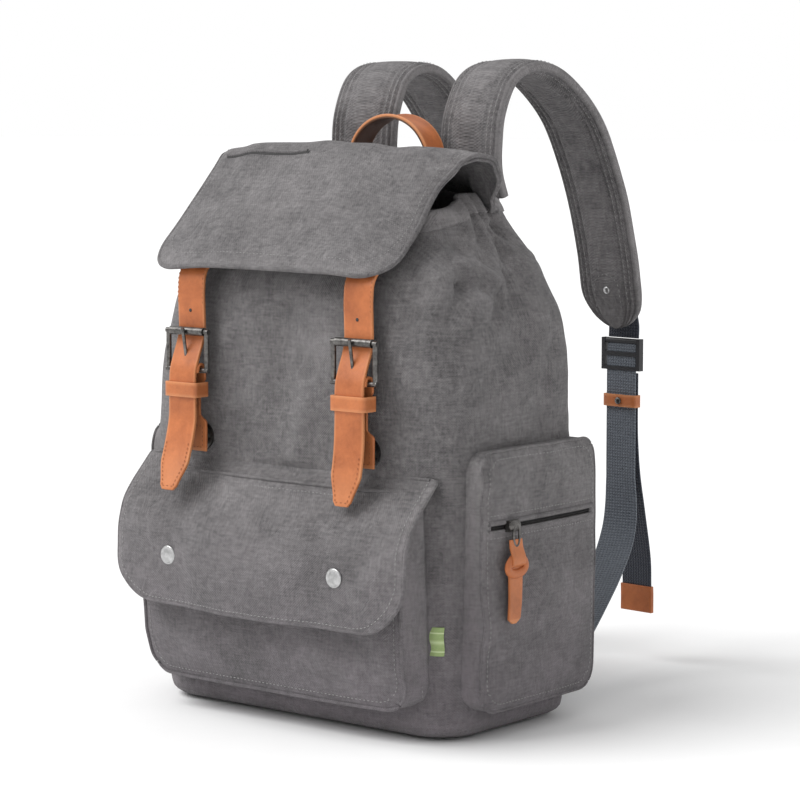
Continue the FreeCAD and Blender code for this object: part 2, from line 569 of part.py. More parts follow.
def make_flap_strap(side, name):
    middle = f"({side} * strap_spread)"
    left, right = f"({middle} - strap_width / 2)", f"({middle} + strap_width / 2)"
    sewn = "(flap_canvas + 2 * lining_gap + lining_cloth + strap_fold)"
    face = [(f"{flap_edge_y} + {sewn} + strap_sewn", f"{flap_edge_z} - {sewn} + strap_sewn"),
             (f"{flap_edge_y} + {sewn}", f"{flap_edge_z} - {sewn}"),
             (f"{buckle_y} + roller_radius + sew_gap", f"{bar_z} + 2 * roller_radius"),
             (f"{buckle_y} + roller_radius + sew_gap", f"{bar_z} - roller_radius / 2"),
             (tail_y, f"{heel_z} + {wrap_radius}"), (tail_y, f"{flap_edge_z} - strap_tail - strap_bend_drop"),
             (f"{tail_y} - strap_tip_out", f"{flap_edge_z} - strap_tail - strap_end_drop")]
    behind = [(f"({y}) + leather", z) for y, z in face]
    strap = slab(f"flap_strap_{name}", "YZ", face + behind[::-1], left, right)
    tip = f"({flap_edge_z} - strap_tail - strap_end_drop)"
    wide = "strap_width / 2 + 1"
    for hand in (-1, 1):
        edge = [(f"{middle} + {hand} * ({wide})", f"{tip} + strap_taper"),
                (f"{middle} + {hand} * strap_width / 2", f"{tip} + strap_taper"),
                (f"{middle} + {hand} * strap_tip_width / 2", f"{tip} + strap_clip"),
                (f"{middle} + {hand} * (strap_tip_width / 2 - strap_clip)", f"{tip} - 1"),
                (f"{middle} + {hand} * ({wide})", f"{tip} - 1")]
        cut_slab(strap, "XZ", edge, f"{flap_edge_y} - strap_cut_reach", f"{flap_edge_y} + strap_cut_reach")
    slot = rectangle(f"{middle} - prong_slot / 2", f"{middle} + prong_slot / 2",
                     f"{buckle_z} - prong_slot_low", f"{buckle_z} + prong_slot_high")
    cut_slab(strap, "XZ", slot, f"{flap_edge_y} - strap_cut_reach / 2", f"{flap_edge_y} + strap_cut_reach / 2")
    cut_round(strap, "XZ", middle, f"{buckle_z} + strap_hole_rise", "strap_hole / 2", f"{flap_edge_y} - strap_cut_reach",
              f"{flap_edge_y} + strap_cut_reach")

    wire = "buckle_wire"
    sides = []
    for hand in (-1, 1):
        x = f"({middle} + {hand} * ({buckle_width} - {wire}) / 2)"
        sides.append(rod("buckle_side", "Z", f"{wire} / 2", x, buckle_y, heel_z, "buckle_height - buckle_wire"))
    for bar in (bar_z, heel_z):
        sides.append(rod("buckle_bar", "X", f"{wire} / 2", f"{middle} - {buckle_width} / 2", buckle_y, bar,
                         buckle_width))
    finished(fuse(f"buckle_frame_{name}", sides), f"buckle_frame_{name}")

    tube = rod("roller_tube", "X", "roller_radius", f"{middle} - {roller_length} / 2", buckle_y, bar_z, roller_length)
    bore = rod("roller_bore", "X", f"{wire} / 2 + roller_fit", f"{middle} - {roller_length} / 2", buckle_y, bar_z,
               roller_length)
    finished(cut(f"buckle_roller_{name}", tube, bore), f"buckle_roller_{name}")

    lean = math.atan2(value("roller_radius + prong_wire / 2 + prong_room"), value(f"{bar_z} - {heel_z}"))
    eye = rod("prong_eye", "X", f"{wire} / 2 + chape_leather", f"{middle} - prong_eye / 2", buckle_y, heel_z,
              "prong_eye")
    rise, out = math.cos(lean), math.sin(lean)
    clear = f"({wire} / 2 + chape_leather / 2)"
    pin_rod = doc.addObject("Part::Cylinder", "prong_pin")
    pin_rod.Placement = Placement(Vector(), Rotation(Vector(1, 0, 0), math.degrees(lean)))
    bind(pin_rod, Radius="prong_wire / 2", Height="buckle_height - buckle_wire", Placement__Base__x=middle,
         Placement__Base__y=f"{buckle_y} - {out:.6f} * {clear}", Placement__Base__z=f"{heel_z} + {rise:.6f} * {clear}")
    solid = fuse("prong_solid", [eye, pin_rod])
    hole = rod("prong_eye_hole", "X", f"{wire} / 2 + roller_fit", f"{middle} - prong_wire", buckle_y, heel_z,
               "2 * prong_wire")
    finished(cut(f"buckle_prong_{name}", solid, hole), f"buckle_prong_{name}")

    loop = rod("chape_loop", "X", wrap_radius, f"{middle} - strap_width / 2", buckle_y, heel_z, "strap_width")
    waist_top = f"({heel_z} - chape_waist_drop)"
    tongue = box("chape_tongue", left, right, chape_y, f"{chape_y} + chape_leather", waist_top, heel_z)
    waist = box("chape_neck", f"{middle} - chape_waist / 2", f"{middle} + chape_waist / 2", chape_y,
                f"{chape_y} + chape_leather", f"{heel_z} - chape_end_drop", waist_top)
    end = box("chape_end", left, right, chape_y, f"{chape_y} + chape_leather", f"{heel_z} - chape_length",
              f"{heel_z} - chape_end_drop")
    solid = fuse("chape_solid", [loop, tongue, waist, end])
    bar_room = rod("chape_bore", "X", f"{wire} / 2 + chape_fit", f"{middle} - strap_width", buckle_y, heel_z,
                   "2 * strap_width")
    slot_box = box("chape_slot_box", f"{middle} - chape_slot / 2", f"{middle} + chape_slot / 2",
                   f"{buckle_y} - strap_cut_reach / 2", f"{buckle_y} + strap_cut_reach / 2",
                   f"{heel_z} - chape_slot_drop", f"{heel_z} + chape_slot_rise")
    finished(cut(f"buckle_chape_{name}", cut("chape_bored", solid, bar_room), slot_box), f"buckle_chape_{name}")

    keeper_front, keeper_back = f"({tail_y} - keeper_fit)", f"({chape_y} + chape_leather + keeper_fit)"
    inside = dict(x0=f"{left} - keeper_fit", x1=f"{right} + keeper_fit")
    keeper_low = f"({heel_z} - keeper_drop / 2 - keeper_height / 2)"
    keeper_high = f"({heel_z} - keeper_drop / 2 + keeper_height / 2)"
    outer = box("keeper_outside", f"{inside['x0']} - keeper_leather", f"{inside['x1']} + keeper_leather",
                f"{keeper_front} - keeper_leather", f"{keeper_back} + keeper_leather", keeper_low, keeper_high)
    inner = box("keeper_inside", inside["x0"], inside["x1"], keeper_front, keeper_back, f"{keeper_low} - 1",
                f"{keeper_high} + 1")
    finished(cut(f"strap_keeper_{name}", outer, inner), f"strap_keeper_{name}")


def make_magnets():
    """Hidden snaps: a magnet behind each chape end, and its seat on the front panel."""
    height = f"({heel_z} - (chape_end_drop + chape_length) / 2)"
    back = f"({chape_y} + chape_leather)"
    panel = front_y(f"{height} + magnet_seat")
    cups, seats = [], []
    for side in (-1, 1):
        x = f"({side} * strap_spread)"
        cups.append(rod("magnet_cup", "Y", "magnet_radius", x, back, height, "magnet_cup"))
        face = f"({back} + magnet_cup + magnet_gap)"
        seats.append(rod("magnet_post", "Y", "magnet_radius", x, face, height, f"({panel} - sew_gap) - {face}"))
        seats.append(rod("magnet_washer", "Y", "magnet_seat", x, f"{panel} - sew_gap - magnet_washer", height,
                         "magnet_washer"))
    finished(group("snap_sockets", cups), "snap_sockets")
    finished(fuse("front_magnets", seats), "front_magnets")


# ---------------------------------------------------------------- shoulder straps and webbing

def ribbon(route, width, thickness):
    """A bent strip: its middle line in the YZ plane, its width along X, its thickness square to the line."""
    curve = Part.BSplineCurve()
    curve.interpolate([Vector(0, y, z) for y, z in route])
    steps = 6 * len(route)
    spots = [curve.FirstParameter + (curve.LastParameter - curve.FirstParameter) * step / steps
             for step in range(steps + 1)]
    sides = []
    for hand in (-1, 1):
        offset = []
        for spot in spots:
            along = curve.tangent(spot)[0]
            square = Vector(1, 0, 0).cross(along).normalize()
            offset.append(curve.value(spot) + square * (hand * thickness / 2))
        side = Part.BSplineCurve()
        side.interpolate(offset)
        sides.append(side)
    low, high = sides
    edges = [low.toShape(), Part.makeLine(low.EndPoint, high.EndPoint), high.toShape(),
             Part.makeLine(high.StartPoint, low.StartPoint)]
    face = Part.Face(Part.Wire(Part.__sortEdges__(edges)))
    face.translate(Vector(-width / 2, 0, 0))
    return face.extrude(Vector(width, 0, 0))


def plain_block(x0, x1, y0, y1, z0, z1):
    return Part.makeBox(x1 - x0, y1 - y0, z1 - z0, Vector(x0, y0, z0))


# The strap's centre line as (y, z) steps from its root, and its end as a step from the lock's bar.
STRAP_ARCH = ((0, 0), (-7, 18), (-8, 38), (-4, 64), (12, 90), (41, 99), (75, 88), (112, 55), (139, 2), (154, -47),
              (160, -80), (166, -95))
STRAP_REACH = 172
STRAP_END = 18
# The webbing's tail and its lower part as (y, z) steps from the lock and from the end of the upper run.
TAIL_STRAIGHT = (0, 18, 36, 52)
TAIL_STEPS = ((5, 0), (12, -32), (20, -72), (21, -94))
LOW_STEPS = ((-3, -34), (-13, -54), (-35, -74), (-57, -88), (-103, -112), (-143, -128))


def make_shoulder_strap(side, name):
    """Everything that hangs on one shoulder strap, drawn about its own middle and then splayed outwards."""
    root_y, root_z = value("shoulder_root"), value("bag_height + shoulder_root_rise")
    lock_z = value("bag_height - lock_drop")
    arch = [(root_y + y, root_z + z) for y, z in STRAP_ARCH]
    arch.append((root_y + STRAP_REACH, lock_z + STRAP_END))
    width, thickness = value("shoulder_width"), value("shoulder_thickness")
    end_y = arch[-1][0]
    tip_z = lock_z + 14
    cover = ribbon(arch, width, thickness)
    tall = 300
    mask = plain_block(-width / 2, width / 2, root_y - 60, end_y + 60, tip_z + width / 2, tip_z + tall)
    end = Part.makeCylinder(width / 2, end_y + 120 - root_y, Vector(0, root_y - 60, tip_z + width / 2), Vector(0, 1, 0))
    mask = mask.fuse(end)
    cover = cover.common(mask)
    margin = value("foam_margin")
    gap = value("lining_gap")
    foam_route = arch[1:-2]
    foam = ribbon(foam_route, width - 2 * margin, value("foam_thickness"))
    cavity = ribbon(foam_route, width - 2 * margin + 2 * gap, value("foam_thickness") + 2 * gap)
    cover = cover.cut(cavity)

    bar = value("lock_bar") / 2
    fit, web = value("lock_fit"), value("webbing")
    lock_y = end_y + value("lock_behind")
    deep, tall_lock, wide = value("lock_deep"), value("lock_height"), value("lock_width")
    web_width = value("webbing_width")
    top_bar = lock_z
    lock = plain_block(-wide / 2, wide / 2, lock_y - deep / 2, lock_y + deep / 2, top_bar - tall_lock, top_bar + bar)
    window = web_width / 2 + 1
    window_end, rail, foot = value("lock_window"), value("lock_rail"), value("lock_foot")
    for high, low in ((top_bar - bar, top_bar - window_end), (top_bar - window_end - rail, top_bar - tall_lock + foot)):
        lock = lock.cut(plain_block(-window, window, lock_y - deep, lock_y + deep, low, high))
    lock = lock.cut(plain_block(-window, window, lock_y - deep, lock_y + deep, top_bar - bar, top_bar + deep))
    lock = lock.fuse(Part.makeCylinder(bar, wide - 2, Vector(-wide / 2 + 1, lock_y, top_bar), Vector(1, 0, 0)))

    loop = Part.makeCylinder(bar + fit + web, web_width, Vector(-web_width / 2, lock_y, top_bar), Vector(1, 0, 0))
    loop = loop.fuse(plain_block(-web_width / 2, web_width / 2, lock_y - web, lock_y + web, top_bar, tip_z - fit))
    loop = loop.cut(Part.makeCylinder(bar + fit, web_width + 2, Vector(-web_width / 2 - 1, lock_y, top_bar),
                                      Vector(1, 0, 0)))
    run_top = top_bar - tall_lock - value("webbing_open")
    run_low = run_top - value("webbing_run")
    run = plain_block(-web_width / 2, web_width / 2, lock_y - web - gap, lock_y - gap, run_low, run_top)
    tail_y0 = lock_y + gap + web / 2
    tail_route = [(tail_y0, run_top - drop) for drop in TAIL_STRAIGHT]
    tail_route += [(lock_y + y, run_low + z) for y, z in TAIL_STEPS]
    tail = ribbon(tail_route, web_width, web)
    webbing = Part.makeCompound([loop, run, tail])

    tip_y, tip_low = tail_route[-1]
    cloth = value("tip_leather")
    tip = plain_block(-web_width / 2 - cloth, web_width / 2 + cloth, tip_y - 2 - cloth, tip_y + 2 + cloth,
                      tip_low - value("tip_height"), tip_low - fit)

    keeper_top = run_top - value("web_keeper_drop")
    keeper_low = keeper_top - value("web_keeper_height")
    leather = value("keeper_leather")
    clear = fit + gap
    ring = plain_block(-web_width / 2 - clear - leather, web_width / 2 + clear + leather,
                       lock_y - web - gap - clear - leather, lock_y + web + gap + clear + leather,
                       keeper_low, keeper_top)
    ring = ring.cut(plain_block(-web_width / 2 - clear, web_width / 2 + clear, lock_y - web - gap - clear,
                                lock_y + web + gap + clear, keeper_low - 1, keeper_top + 1))

    splay = Placement(Vector(side * value("shoulder_spread"), 0, 0), Rotation(),
                      Vector(0, 0, 0)).multiply(
        Placement(Vector(), Rotation(Vector(0, 0, 1), -side * value("shoulder_splay")), Vector(0, root_y, 0)))
    pieces = {"shoulder_strap": cover, "strap_foam": foam, "ladder_lock": lock, "strap_webbing": webbing,
              "webbing_tip": tip, "webbing_keeper": ring}
    for label, shape in pieces.items():
        feature = doc.addObject("Part::Feature", f"{label}_{name}")
        feature.Shape = shape.removeSplitter() if shape.ShapeType != "Compound" else shape
        feature.Placement = splay
        finished(feature, f"{label}_{name}")

    spot = splay.multVec(Vector(0, lock_y, 0))
    low_route = [(lock_y - web / 2 - gap, run_low - value("linkage_gap"))]
    low_route += [(lock_y + y, run_low + z) for y, z in LOW_STEPS]
    low_route.append((value("base_back + anchor_reach"), value("anchor_height")))
    lower = doc.addObject("Part::Feature", f"webbing_lower_{name}")
    lower.Shape = ribbon(low_route, web_width, web)
    lower.Placement = Placement(Vector(spot.x, 0, 0), Rotation()).multiply(
        Placement(Vector(), Rotation(Vector(0, 0, 1), side * value("anchor_splay")), Vector(0, lock_y, 0)))
    finished(lower, f"webbing_lower_{name}")
    print(name, "lock at", [round(number, 2) for number in (spot.x, spot.y, lock_z)], "tip low", round(tip_low, 1))
    return lower


def make_anchors(lowers):
    """Canvas tabs in the bottom seam, where the webbing is sewn in."""
    tabs = []
    for side, lower in zip((-1, 1), lowers):
        end = lower.Shape.BoundBox
        x = max(end.XMax, -end.XMin) - value("webbing_width") / 2
        y = value("base_back + sew_gap")
        z = value("anchor_height")
        half_tab, cloth = value("anchor_width") / 2, value("anchor_cloth")
        low = z - value("anchor_drop")
        block = plain_block(-half_tab, half_tab, y + value("anchor_gap"), y + value("anchor_tab"), low, low + cloth)
        block.translate(Vector(side * x, 0, 0))
        tabs.append(block)
    feature = doc.addObject("Part::Feature", "strap_anchors")
    feature.Shape = Part.makeCompound(tabs)
    finished(feature, "strap_anchors")


make_sack()
make_back()
make_front_pocket()
make_flap()
SIDES = ((-1, "left"), (1, "right"))
for side, name in SIDES:
    make_side_pocket(side, name)
    make_flap_strap(side, name)
make_magnets()
make_anchors([make_shoulder_strap(side, name) for side, name in SIDES])
doc.recompute()

for feature in doc.Objects:
    if "Invalid" in feature.State or "Error" in feature.State:
        raise SystemExit(f"{feature.Label} failed: {feature.State}")
for feature in sub_parts:
    if feature.Shape.isNull() or not feature.Shape.isValid():
        raise SystemExit(f"{feature.Label} has no valid shape")

os.makedirs("parts", exist_ok=True)
for feature in sub_parts:
    feature.Shape.exportStep(f"parts/{feature.Label}.step")
    size = feature.Shape.BoundBox
    print(f"{feature.Label:24s} x {size.XMin:7.1f} {size.XMax:7.1f}  y {size.YMin:7.1f} {size.YMax:7.1f}"
          f"  z {size.ZMin:7.1f} {size.ZMax:7.1f}  solids {len(feature.Shape.Solids)}"
          f"  volume {feature.Shape.Volume:.0f}")
print(len(sub_parts), "sub-parts")
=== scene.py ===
import math

import bmesh
import bpy
from mathutils import Matrix, Vector, noise


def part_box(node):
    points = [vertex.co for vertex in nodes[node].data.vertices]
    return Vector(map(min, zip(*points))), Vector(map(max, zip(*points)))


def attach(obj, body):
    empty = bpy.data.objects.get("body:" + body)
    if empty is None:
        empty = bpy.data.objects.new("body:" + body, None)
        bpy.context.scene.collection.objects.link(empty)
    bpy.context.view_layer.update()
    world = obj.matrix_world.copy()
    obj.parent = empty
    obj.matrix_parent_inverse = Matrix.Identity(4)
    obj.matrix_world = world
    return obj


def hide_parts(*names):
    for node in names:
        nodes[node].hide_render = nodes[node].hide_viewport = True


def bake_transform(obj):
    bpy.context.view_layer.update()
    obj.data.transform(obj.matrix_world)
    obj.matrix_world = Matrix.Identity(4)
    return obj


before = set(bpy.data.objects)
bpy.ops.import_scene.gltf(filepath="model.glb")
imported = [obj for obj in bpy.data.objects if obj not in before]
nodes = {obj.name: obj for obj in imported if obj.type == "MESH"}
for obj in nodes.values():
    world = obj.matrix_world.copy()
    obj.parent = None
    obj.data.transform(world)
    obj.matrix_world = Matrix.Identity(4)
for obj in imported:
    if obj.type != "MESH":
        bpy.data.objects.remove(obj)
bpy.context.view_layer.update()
scene = bpy.context.scene
print("frame loaded")


# Lengths are metres here; those given in millimetres go through at() or mm()
def at(x, y, z):
    return Vector((x, y, z)) / 1000


def mm(value):
    return value / 1000


cameraView = {"eye": (1.34241, -1.59716, 0.45731), "target": (0.02179, 0.02256, 0.23489), "lens": 123.46}


def makeCamera(view):
    lens = bpy.data.cameras.new("viewCamera")
    lens.lens = view["lens"]
    lens.sensor_width = 36
    lens.clip_start = 0.02
    camera = bpy.data.objects.new("viewCamera", lens)
    scene.collection.objects.link(camera)
    eye = Vector(view["eye"])
    camera.location = eye
    camera.rotation_mode = "QUATERNION"
    camera.rotation_quaternion = (Vector(view["target"]) - eye).to_track_quat("-Z", "Y")
    scene.camera = camera


studio = {
    "sky": 0.72, "backdrop": 1.0, "floorSize": 60,
    "sun": {"from": (-0.80, -0.95, 1.5), "strength": 2.3, "spread": 42},
}


def makeStudio(look):
    world = bpy.data.worlds.new("studioSky")
    world.use_nodes = True
    tree = world.node_tree
    sky = tree.nodes["Background"]
    sky.inputs["Color"].default_value = (1, 1, 1, 1)
    rays = tree.nodes.new("ShaderNodeLightPath")
    level = tree.nodes.new("ShaderNodeMix")
    level.inputs["A"].default_value = look["sky"]
    level.inputs["B"].default_value = look["backdrop"]
    tree.links.new(rays.outputs["Is Camera Ray"], level.inputs["Factor"])
    tree.links.new(level.outputs["Result"], sky.inputs["Strength"])
    scene.world = world
    scene.view_settings.view_transform = "Standard"
    lamp = bpy.data.lights.new("softSun", "SUN")
    lamp.energy = look["sun"]["strength"]
    lamp.angle = math.radians(look["sun"]["spread"])
    holder = bpy.data.objects.new("softSun", lamp)
    holder.rotation_mode = "QUATERNION"
    holder.rotation_quaternion = Vector(look["sun"]["from"]).to_track_quat("Z", "Y")
    scene.collection.objects.link(holder)


makeCamera(cameraView)
makeStudio(studio)
print("camera and light set")


# A number socket that takes part in arithmetic
class Value:
    def __init__(self, finish, socket):
        self.finish = finish
        self.socket = socket

    def apply(self, operation, *others):
        settings = {"operation": operation}
        values = {0: self}
        for place, other in enumerate(others):
            values[place + 1] = other
        return Value(self.finish, self.finish.add("ShaderNodeMath", settings, values).outputs[0])

    def __add__(self, other):
        return self.apply("ADD", other)

    def __radd__(self, other):
        return self.apply("ADD", other)

    def __mul__(self, other):
        return self.apply("MULTIPLY", other)

    def __rmul__(self, other):
        return self.apply("MULTIPLY", other)

    def __sub__(self, other):
        return self.apply("SUBTRACT", other)

    def __rsub__(self, other):
        return (self * -1) + other

    def __truediv__(self, other):
        return self.apply("DIVIDE", other)

    def sine(self):
        return self.apply("SINE")

    def size(self):
        return self.apply("ABSOLUTE")

    def least(self, other):
        return self.apply("MINIMUM", other)

    def most(self, other):
        return self.apply("MAXIMUM", other)

    def within(self):
        return self.most(0.0).least(1.0)

    def ramp(self, low, high):
        return ((self - low) / (high - low)).within()


class Finish:
    def __init__(self, name, **constants):
        self.material = bpy.data.materials.new(name)
        self.material.use_nodes = True
        self.tree = self.material.node_tree
        self.shader = self.tree.nodes["Principled BSDF"]
        for socket, value in constants.items():
            self.shader.inputs[socket.replace("_", " ")].default_value = value

    def add(self, kind, settings=None, values=None):
        node = self.tree.nodes.new(kind)
        for name, setting in (settings or {}).items():
            setattr(node, name, setting)
        for name, value in (values or {}).items():
            if isinstance(value, Value):
                value = value.socket
            if isinstance(value, bpy.types.NodeSocket):
                self.tree.links.new(value, node.inputs[name])
            else:
                node.inputs[name].default_value = value
        return node

    def place(self):
        return self.add("ShaderNodeTexCoord").outputs["Object"]

    def cloth(self):
        return self.add("ShaderNodeUVMap", {"uv_map": "cloth"}).outputs["UV"]

    def stretch(self, vector, scale):
        return self.add("ShaderNodeMapping", {}, {"Vector": vector, "Scale": scale}).outputs["Vector"]

    def noise(self, vector, scale, detail=3.0, rough=0.55, twist=0.0):
        node = self.add("ShaderNodeTexNoise", {}, {"Vector": vector, "Scale": scale, "Detail": detail,
                                                   "Roughness": rough, "Distortion": twist})
        return Value(self, node.outputs["Fac"])

    def split(self, vector):
        node = self.add("ShaderNodeSeparateXYZ", {}, {"Vector": vector})
        return [Value(self, socket) for socket in node.outputs]

    def attribute(self, name):
        return Value(self, self.add("ShaderNodeAttribute", {"attribute_name": name}).outputs["Fac"])

    def mix(self, factor, first, second):
        node = self.add("ShaderNodeMix", {"data_type": "RGBA"}, {0: factor, 6: first, 7: second})
        return node.outputs[2]

    def feed(self, socket, value):
        value = value.socket if isinstance(value, Value) else value
        self.tree.links.new(value, self.shader.inputs[socket])

    def relief(self, layers):
        normal = None
        for height, depth, strength in layers:
            values = {"Height": height, "Distance": depth, "Strength": strength}
            if normal is not None:
                values["Normal"] = normal
            normal = self.add("ShaderNodeBump", {}, values).outputs["Normal"]
        self.feed("Normal", normal)


def paint(red, green, blue):
    return (red, green, blue, 1.0)


canvasLook = {
    "deep": paint(0.078, 0.074, 0.076),
    "wearAndSheen": paint(0.232, 0.220, 0.222),
    "low": paint(0.192, 0.172, 0.186),
    "thread": 3300.0,
}


def canvasFinish(name, look, shade=0.0):
    cloth = Finish(name, Roughness=0.92)
    cloth.shader.inputs["Specular IOR Level"].default_value = 0.18
    cloth.shader.inputs["Sheen Weight"].default_value = 0.12
    cloth.shader.inputs["Sheen Roughness"].default_value = 0.6
    place, grain = cloth.place(), cloth.cloth()
    across, along, _ = cloth.split(grain)
    height = cloth.split(place)[2]
    washed = cloth.noise(place, 12, 3, 0.6, 0.4)
    patches = cloth.noise(place, 52, 5, 0.7, 0.5)
    creases = 1 - ((cloth.noise(place, 17, 3, 0.55, 0.9) - 0.5).size() * 30).within()
    streaks = cloth.noise(cloth.stretch(grain, (90, 560, 1)), 1, 4, 0.75)
    slubs = cloth.noise(cloth.stretch(grain, (560, 90, 1)), 1, 4, 0.75)
    specks = cloth.noise(place, 330, 3, 0.75)
    weave = (across * look["thread"]).sine() * (along * look["thread"]).sine()
    wearAndSheen = cloth.attribute("wearAndSheen")
    amount = (0.42 + shade + (washed - 0.5) * 0.9 + (patches - 0.5) * 0.9 + creases * (patches * 0.22)
              + (streaks - 0.5) * 1.3 + (slubs - 0.5) * 1.1 + (specks - 0.5) * 0.9
              + weave * 0.08 + wearAndSheen * 0.5)
    colour = cloth.mix(amount.within(), look["deep"], look["wearAndSheen"])
    lowTone = cloth.mix(amount.within(), look["deep"], look["low"])
    cloth.feed("Base Color", cloth.mix(height.ramp(0.19, 0.03), colour, lowTone))
    cloth.relief([(washed + patches * 0.7 + creases * -0.25, 0.0022, 0.6),
                  (weave * 0.4 + streaks + slubs + specks * 0.6, 0.0006, 0.8)])
    return cloth.material


leatherLook = {
    "deep": paint(0.255, 0.066, 0.018),
    "fair": paint(0.550, 0.170, 0.054),
    # cut-edge colour, also the colour of the painted sheen on the flap straps' lower ends
    "cut": paint(0.72, 0.32, 0.14),
}


def leatherFinish(name, look, darker=1.0):
    hide = Finish(name)
    hide.shader.inputs["Specular IOR Level"].default_value = 0.42
    place = hide.place()
    clouds = hide.noise(place, 27, 4, 0.6, 0.5)
    marks = hide.noise(place, 210, 4, 0.7, 0.8)
    pores = hide.add("ShaderNodeTexVoronoi", {"feature": "DISTANCE_TO_EDGE"},
                     {"Vector": place, "Scale": 900.0})
    pores = Value(hide, pores.outputs["Distance"])
    wearAndSheen = hide.attribute("wearAndSheen")
    amount = 0.60 + (clouds - 0.5) * 1.7 + (marks - 0.5) * 0.7
    tint = [tuple(channel * darker for channel in look[key][:3]) + (1.0,) for key in ("deep", "fair", "cut")]
    colour = hide.mix(amount.within(), tint[0], tint[1])
    # Lighter towards the cut-edge colour where the attribute is high: real edge wear, and on the flap straps a
    # painted sheen
    hide.feed("Base Color", hide.mix((wearAndSheen * 0.75).within(), colour, tint[2]))
    hide.feed("Roughness", 0.32 + marks * 0.24)
    hide.relief([(clouds + marks * 0.5, 0.0006, 0.4), (pores.least(0.3) + marks * 0.25, 0.00025, 0.5)])
    return hide.material


def metalFinish(name, deep, fair, rough):
    metal = Finish(name, Metallic=1.0)
    place = metal.place()
    wear = metal.noise(place, 260, 4, 0.7, 0.4)
    scratch = metal.noise(metal.stretch(place, (300, 2600, 300)), 1, 2, 0.6)
    metal.feed("Base Color", metal.mix(wear.ramp(0.3, 0.75), deep, fair))
    metal.feed("Roughness", rough + (scratch - 0.5) * 0.25)
    metal.relief([(wear + scratch * 0.4, 0.0001, 0.35)])
    return metal.material


def webbingFinish(name, deep, fair, pitch):
    band = Finish(name, Roughness=0.62)
    band.shader.inputs["Sheen Weight"].default_value = 0.15
    across, along, _ = band.split(band.cloth())
    ribs = (along * pitch).sine()
    rows = ((across * pitch * 0.9 + ribs * 0.9)).sine()
    fuzz = band.noise(band.place(), 420, 3, 0.6)
    amount = 0.5 + ribs * 0.16 + rows * 0.2 + (fuzz - 0.5) * 0.9
    band.feed("Base Color", band.mix(amount.within(), deep, fair))
    band.relief([(ribs * 0.6 + rows * 0.7 + fuzz * 0.4, 0.0004, 0.7)])
    return band.material


def plainFinish(name, deep, fair, rough, scale, depth=0.0002):
    made = Finish(name)
    place = made.place()
    mottle = made.noise(place, scale, 4, 0.65)
    fine = made.noise(place, scale * 9, 2, 0.6)
    made.feed("Base Color", made.mix((mottle * 0.7 + fine * 0.3).ramp(0.3, 0.7), deep, fair))
    made.feed("Roughness", rough + (mottle - 0.5) * 0.2)
    made.relief([(mottle * 0.5 + fine, depth, 0.5)])
    return made.material


tabLook = {"cloth": paint(0.23, 0.33, 0.11), "stripe": paint(0.62, 0.70, 0.42), "low": 0.066, "high": 0.084}


def tabFinish(look):
    tab = Finish("tabCloth", Roughness=0.85)
    place = tab.place()
    height = tab.split(place)[2]
    share = height.ramp(look["low"], look["high"])
    lines = ((share - 0.12).size() * 22).within() * ((share - 0.88).size() * 22).within()
    middle = ((share - 0.5).size() * 8).within()
    fuzz = tab.noise(place, 900, 2, 0.6)
    plain = tab.mix((lines * (0.35 + middle * 0.65)).within(), look["stripe"], look["cloth"])
    tab.feed("Base Color", tab.mix((fuzz * 0.4).within(), plain, look["stripe"]))
    tab.relief([(fuzz + (height * 9000).sine() * 0.3, 0.0002, 0.6)])
    return tab.material


canvas = canvasFinish("canvasCloth", canvasLook)
liningCloth = canvasFinish("liningCloth", canvasLook, -0.16)
leather = leatherFinish("tanLeather", leatherLook)
leatherBack = leatherFinish("leatherFlesh", leatherLook, 0.16)
gunmetal = metalFinish("gunmetal", paint(0.055, 0.052, 0.050), paint(0.24, 0.23, 0.22), 0.36)
snapMetal = metalFinish("snapSteel", paint(0.36, 0.36, 0.36), paint(0.66, 0.66, 0.66), 0.34)
webbing = webbingFinish("slateWebbing", paint(0.058, 0.068, 0.086), paint(0.150, 0.170, 0.200), 2600.0)
webbingDark = webbingFinish("webbingBack", paint(0.012, 0.015, 0.026), paint(0.030, 0.036, 0.055), 2600.0)
blackPlastic = plainFinish("blackPlastic", paint(0.010, 0.010, 0.012), paint(0.026, 0.026, 0.030), 0.42, 300)
boardFill = plainFinish("stiffBoard", paint(0.05, 0.048, 0.045), paint(0.09, 0.085, 0.08), 0.8, 120)
paleThread = plainFinish("paleThread", paint(0.21, 0.205, 0.205), paint(0.38, 0.37, 0.365), 0.8, 160)
tanThread = plainFinish("tanThread", paint(0.20, 0.062, 0.022), paint(0.36, 0.13, 0.05), 0.7, 700)
zipTape = plainFinish("zipTape", paint(0.018, 0.017, 0.018), paint(0.05, 0.048, 0.048), 0.7, 500)
greyTape = plainFinish("greyTape", paint(0.060, 0.056, 0.053), paint(0.130, 0.122, 0.116), 0.8, 420)
tabCloth = tabFinish(tabLook)
print("finishes made")


# Turns a bmesh into a finished piece
def keep(bm, name, finish, wall=0.0, edge=0.0, inner=None, facing=None, boxed=True):
    if facing == "out":
        if sum(face.normal.dot(face.calc_center_median() * Vector((1, 1, 0))) for face in bm.faces) < 0:
            bmesh.ops.reverse_faces(bm, faces=bm.faces)
    elif facing is not None:
        total = sum((face.normal * face.calc_area() for face in bm.faces), Vector())
        if total.dot(Vector(facing)) < 0:
            bmesh.ops.reverse_faces(bm, faces=bm.faces)
    if boxed:
        boxMap(bm)
    for face in bm.faces:
        face.smooth = True
    mesh = bpy.data.meshes.new(name)
    bm.to_mesh(mesh)
    bm.free()
    made = bpy.data.objects.new(name, mesh)
    scene.collection.objects.link(made)
    mesh.materials.append(finish)
    if inner is not None:
        mesh.materials.append(inner)
    if wall:
        solid = made.modifiers.new("wall", "SOLIDIFY")
        solid.thickness = wall
        solid.offset = -1
        if inner is not None:
            solid.material_offset = 1
    if edge:
        soft = made.modifiers.new("edge", "BEVEL")
        soft.width = edge
        soft.segments = 2
        soft.limit_method = "ANGLE"
        soft.angle_limit = math.radians(40)
    return made


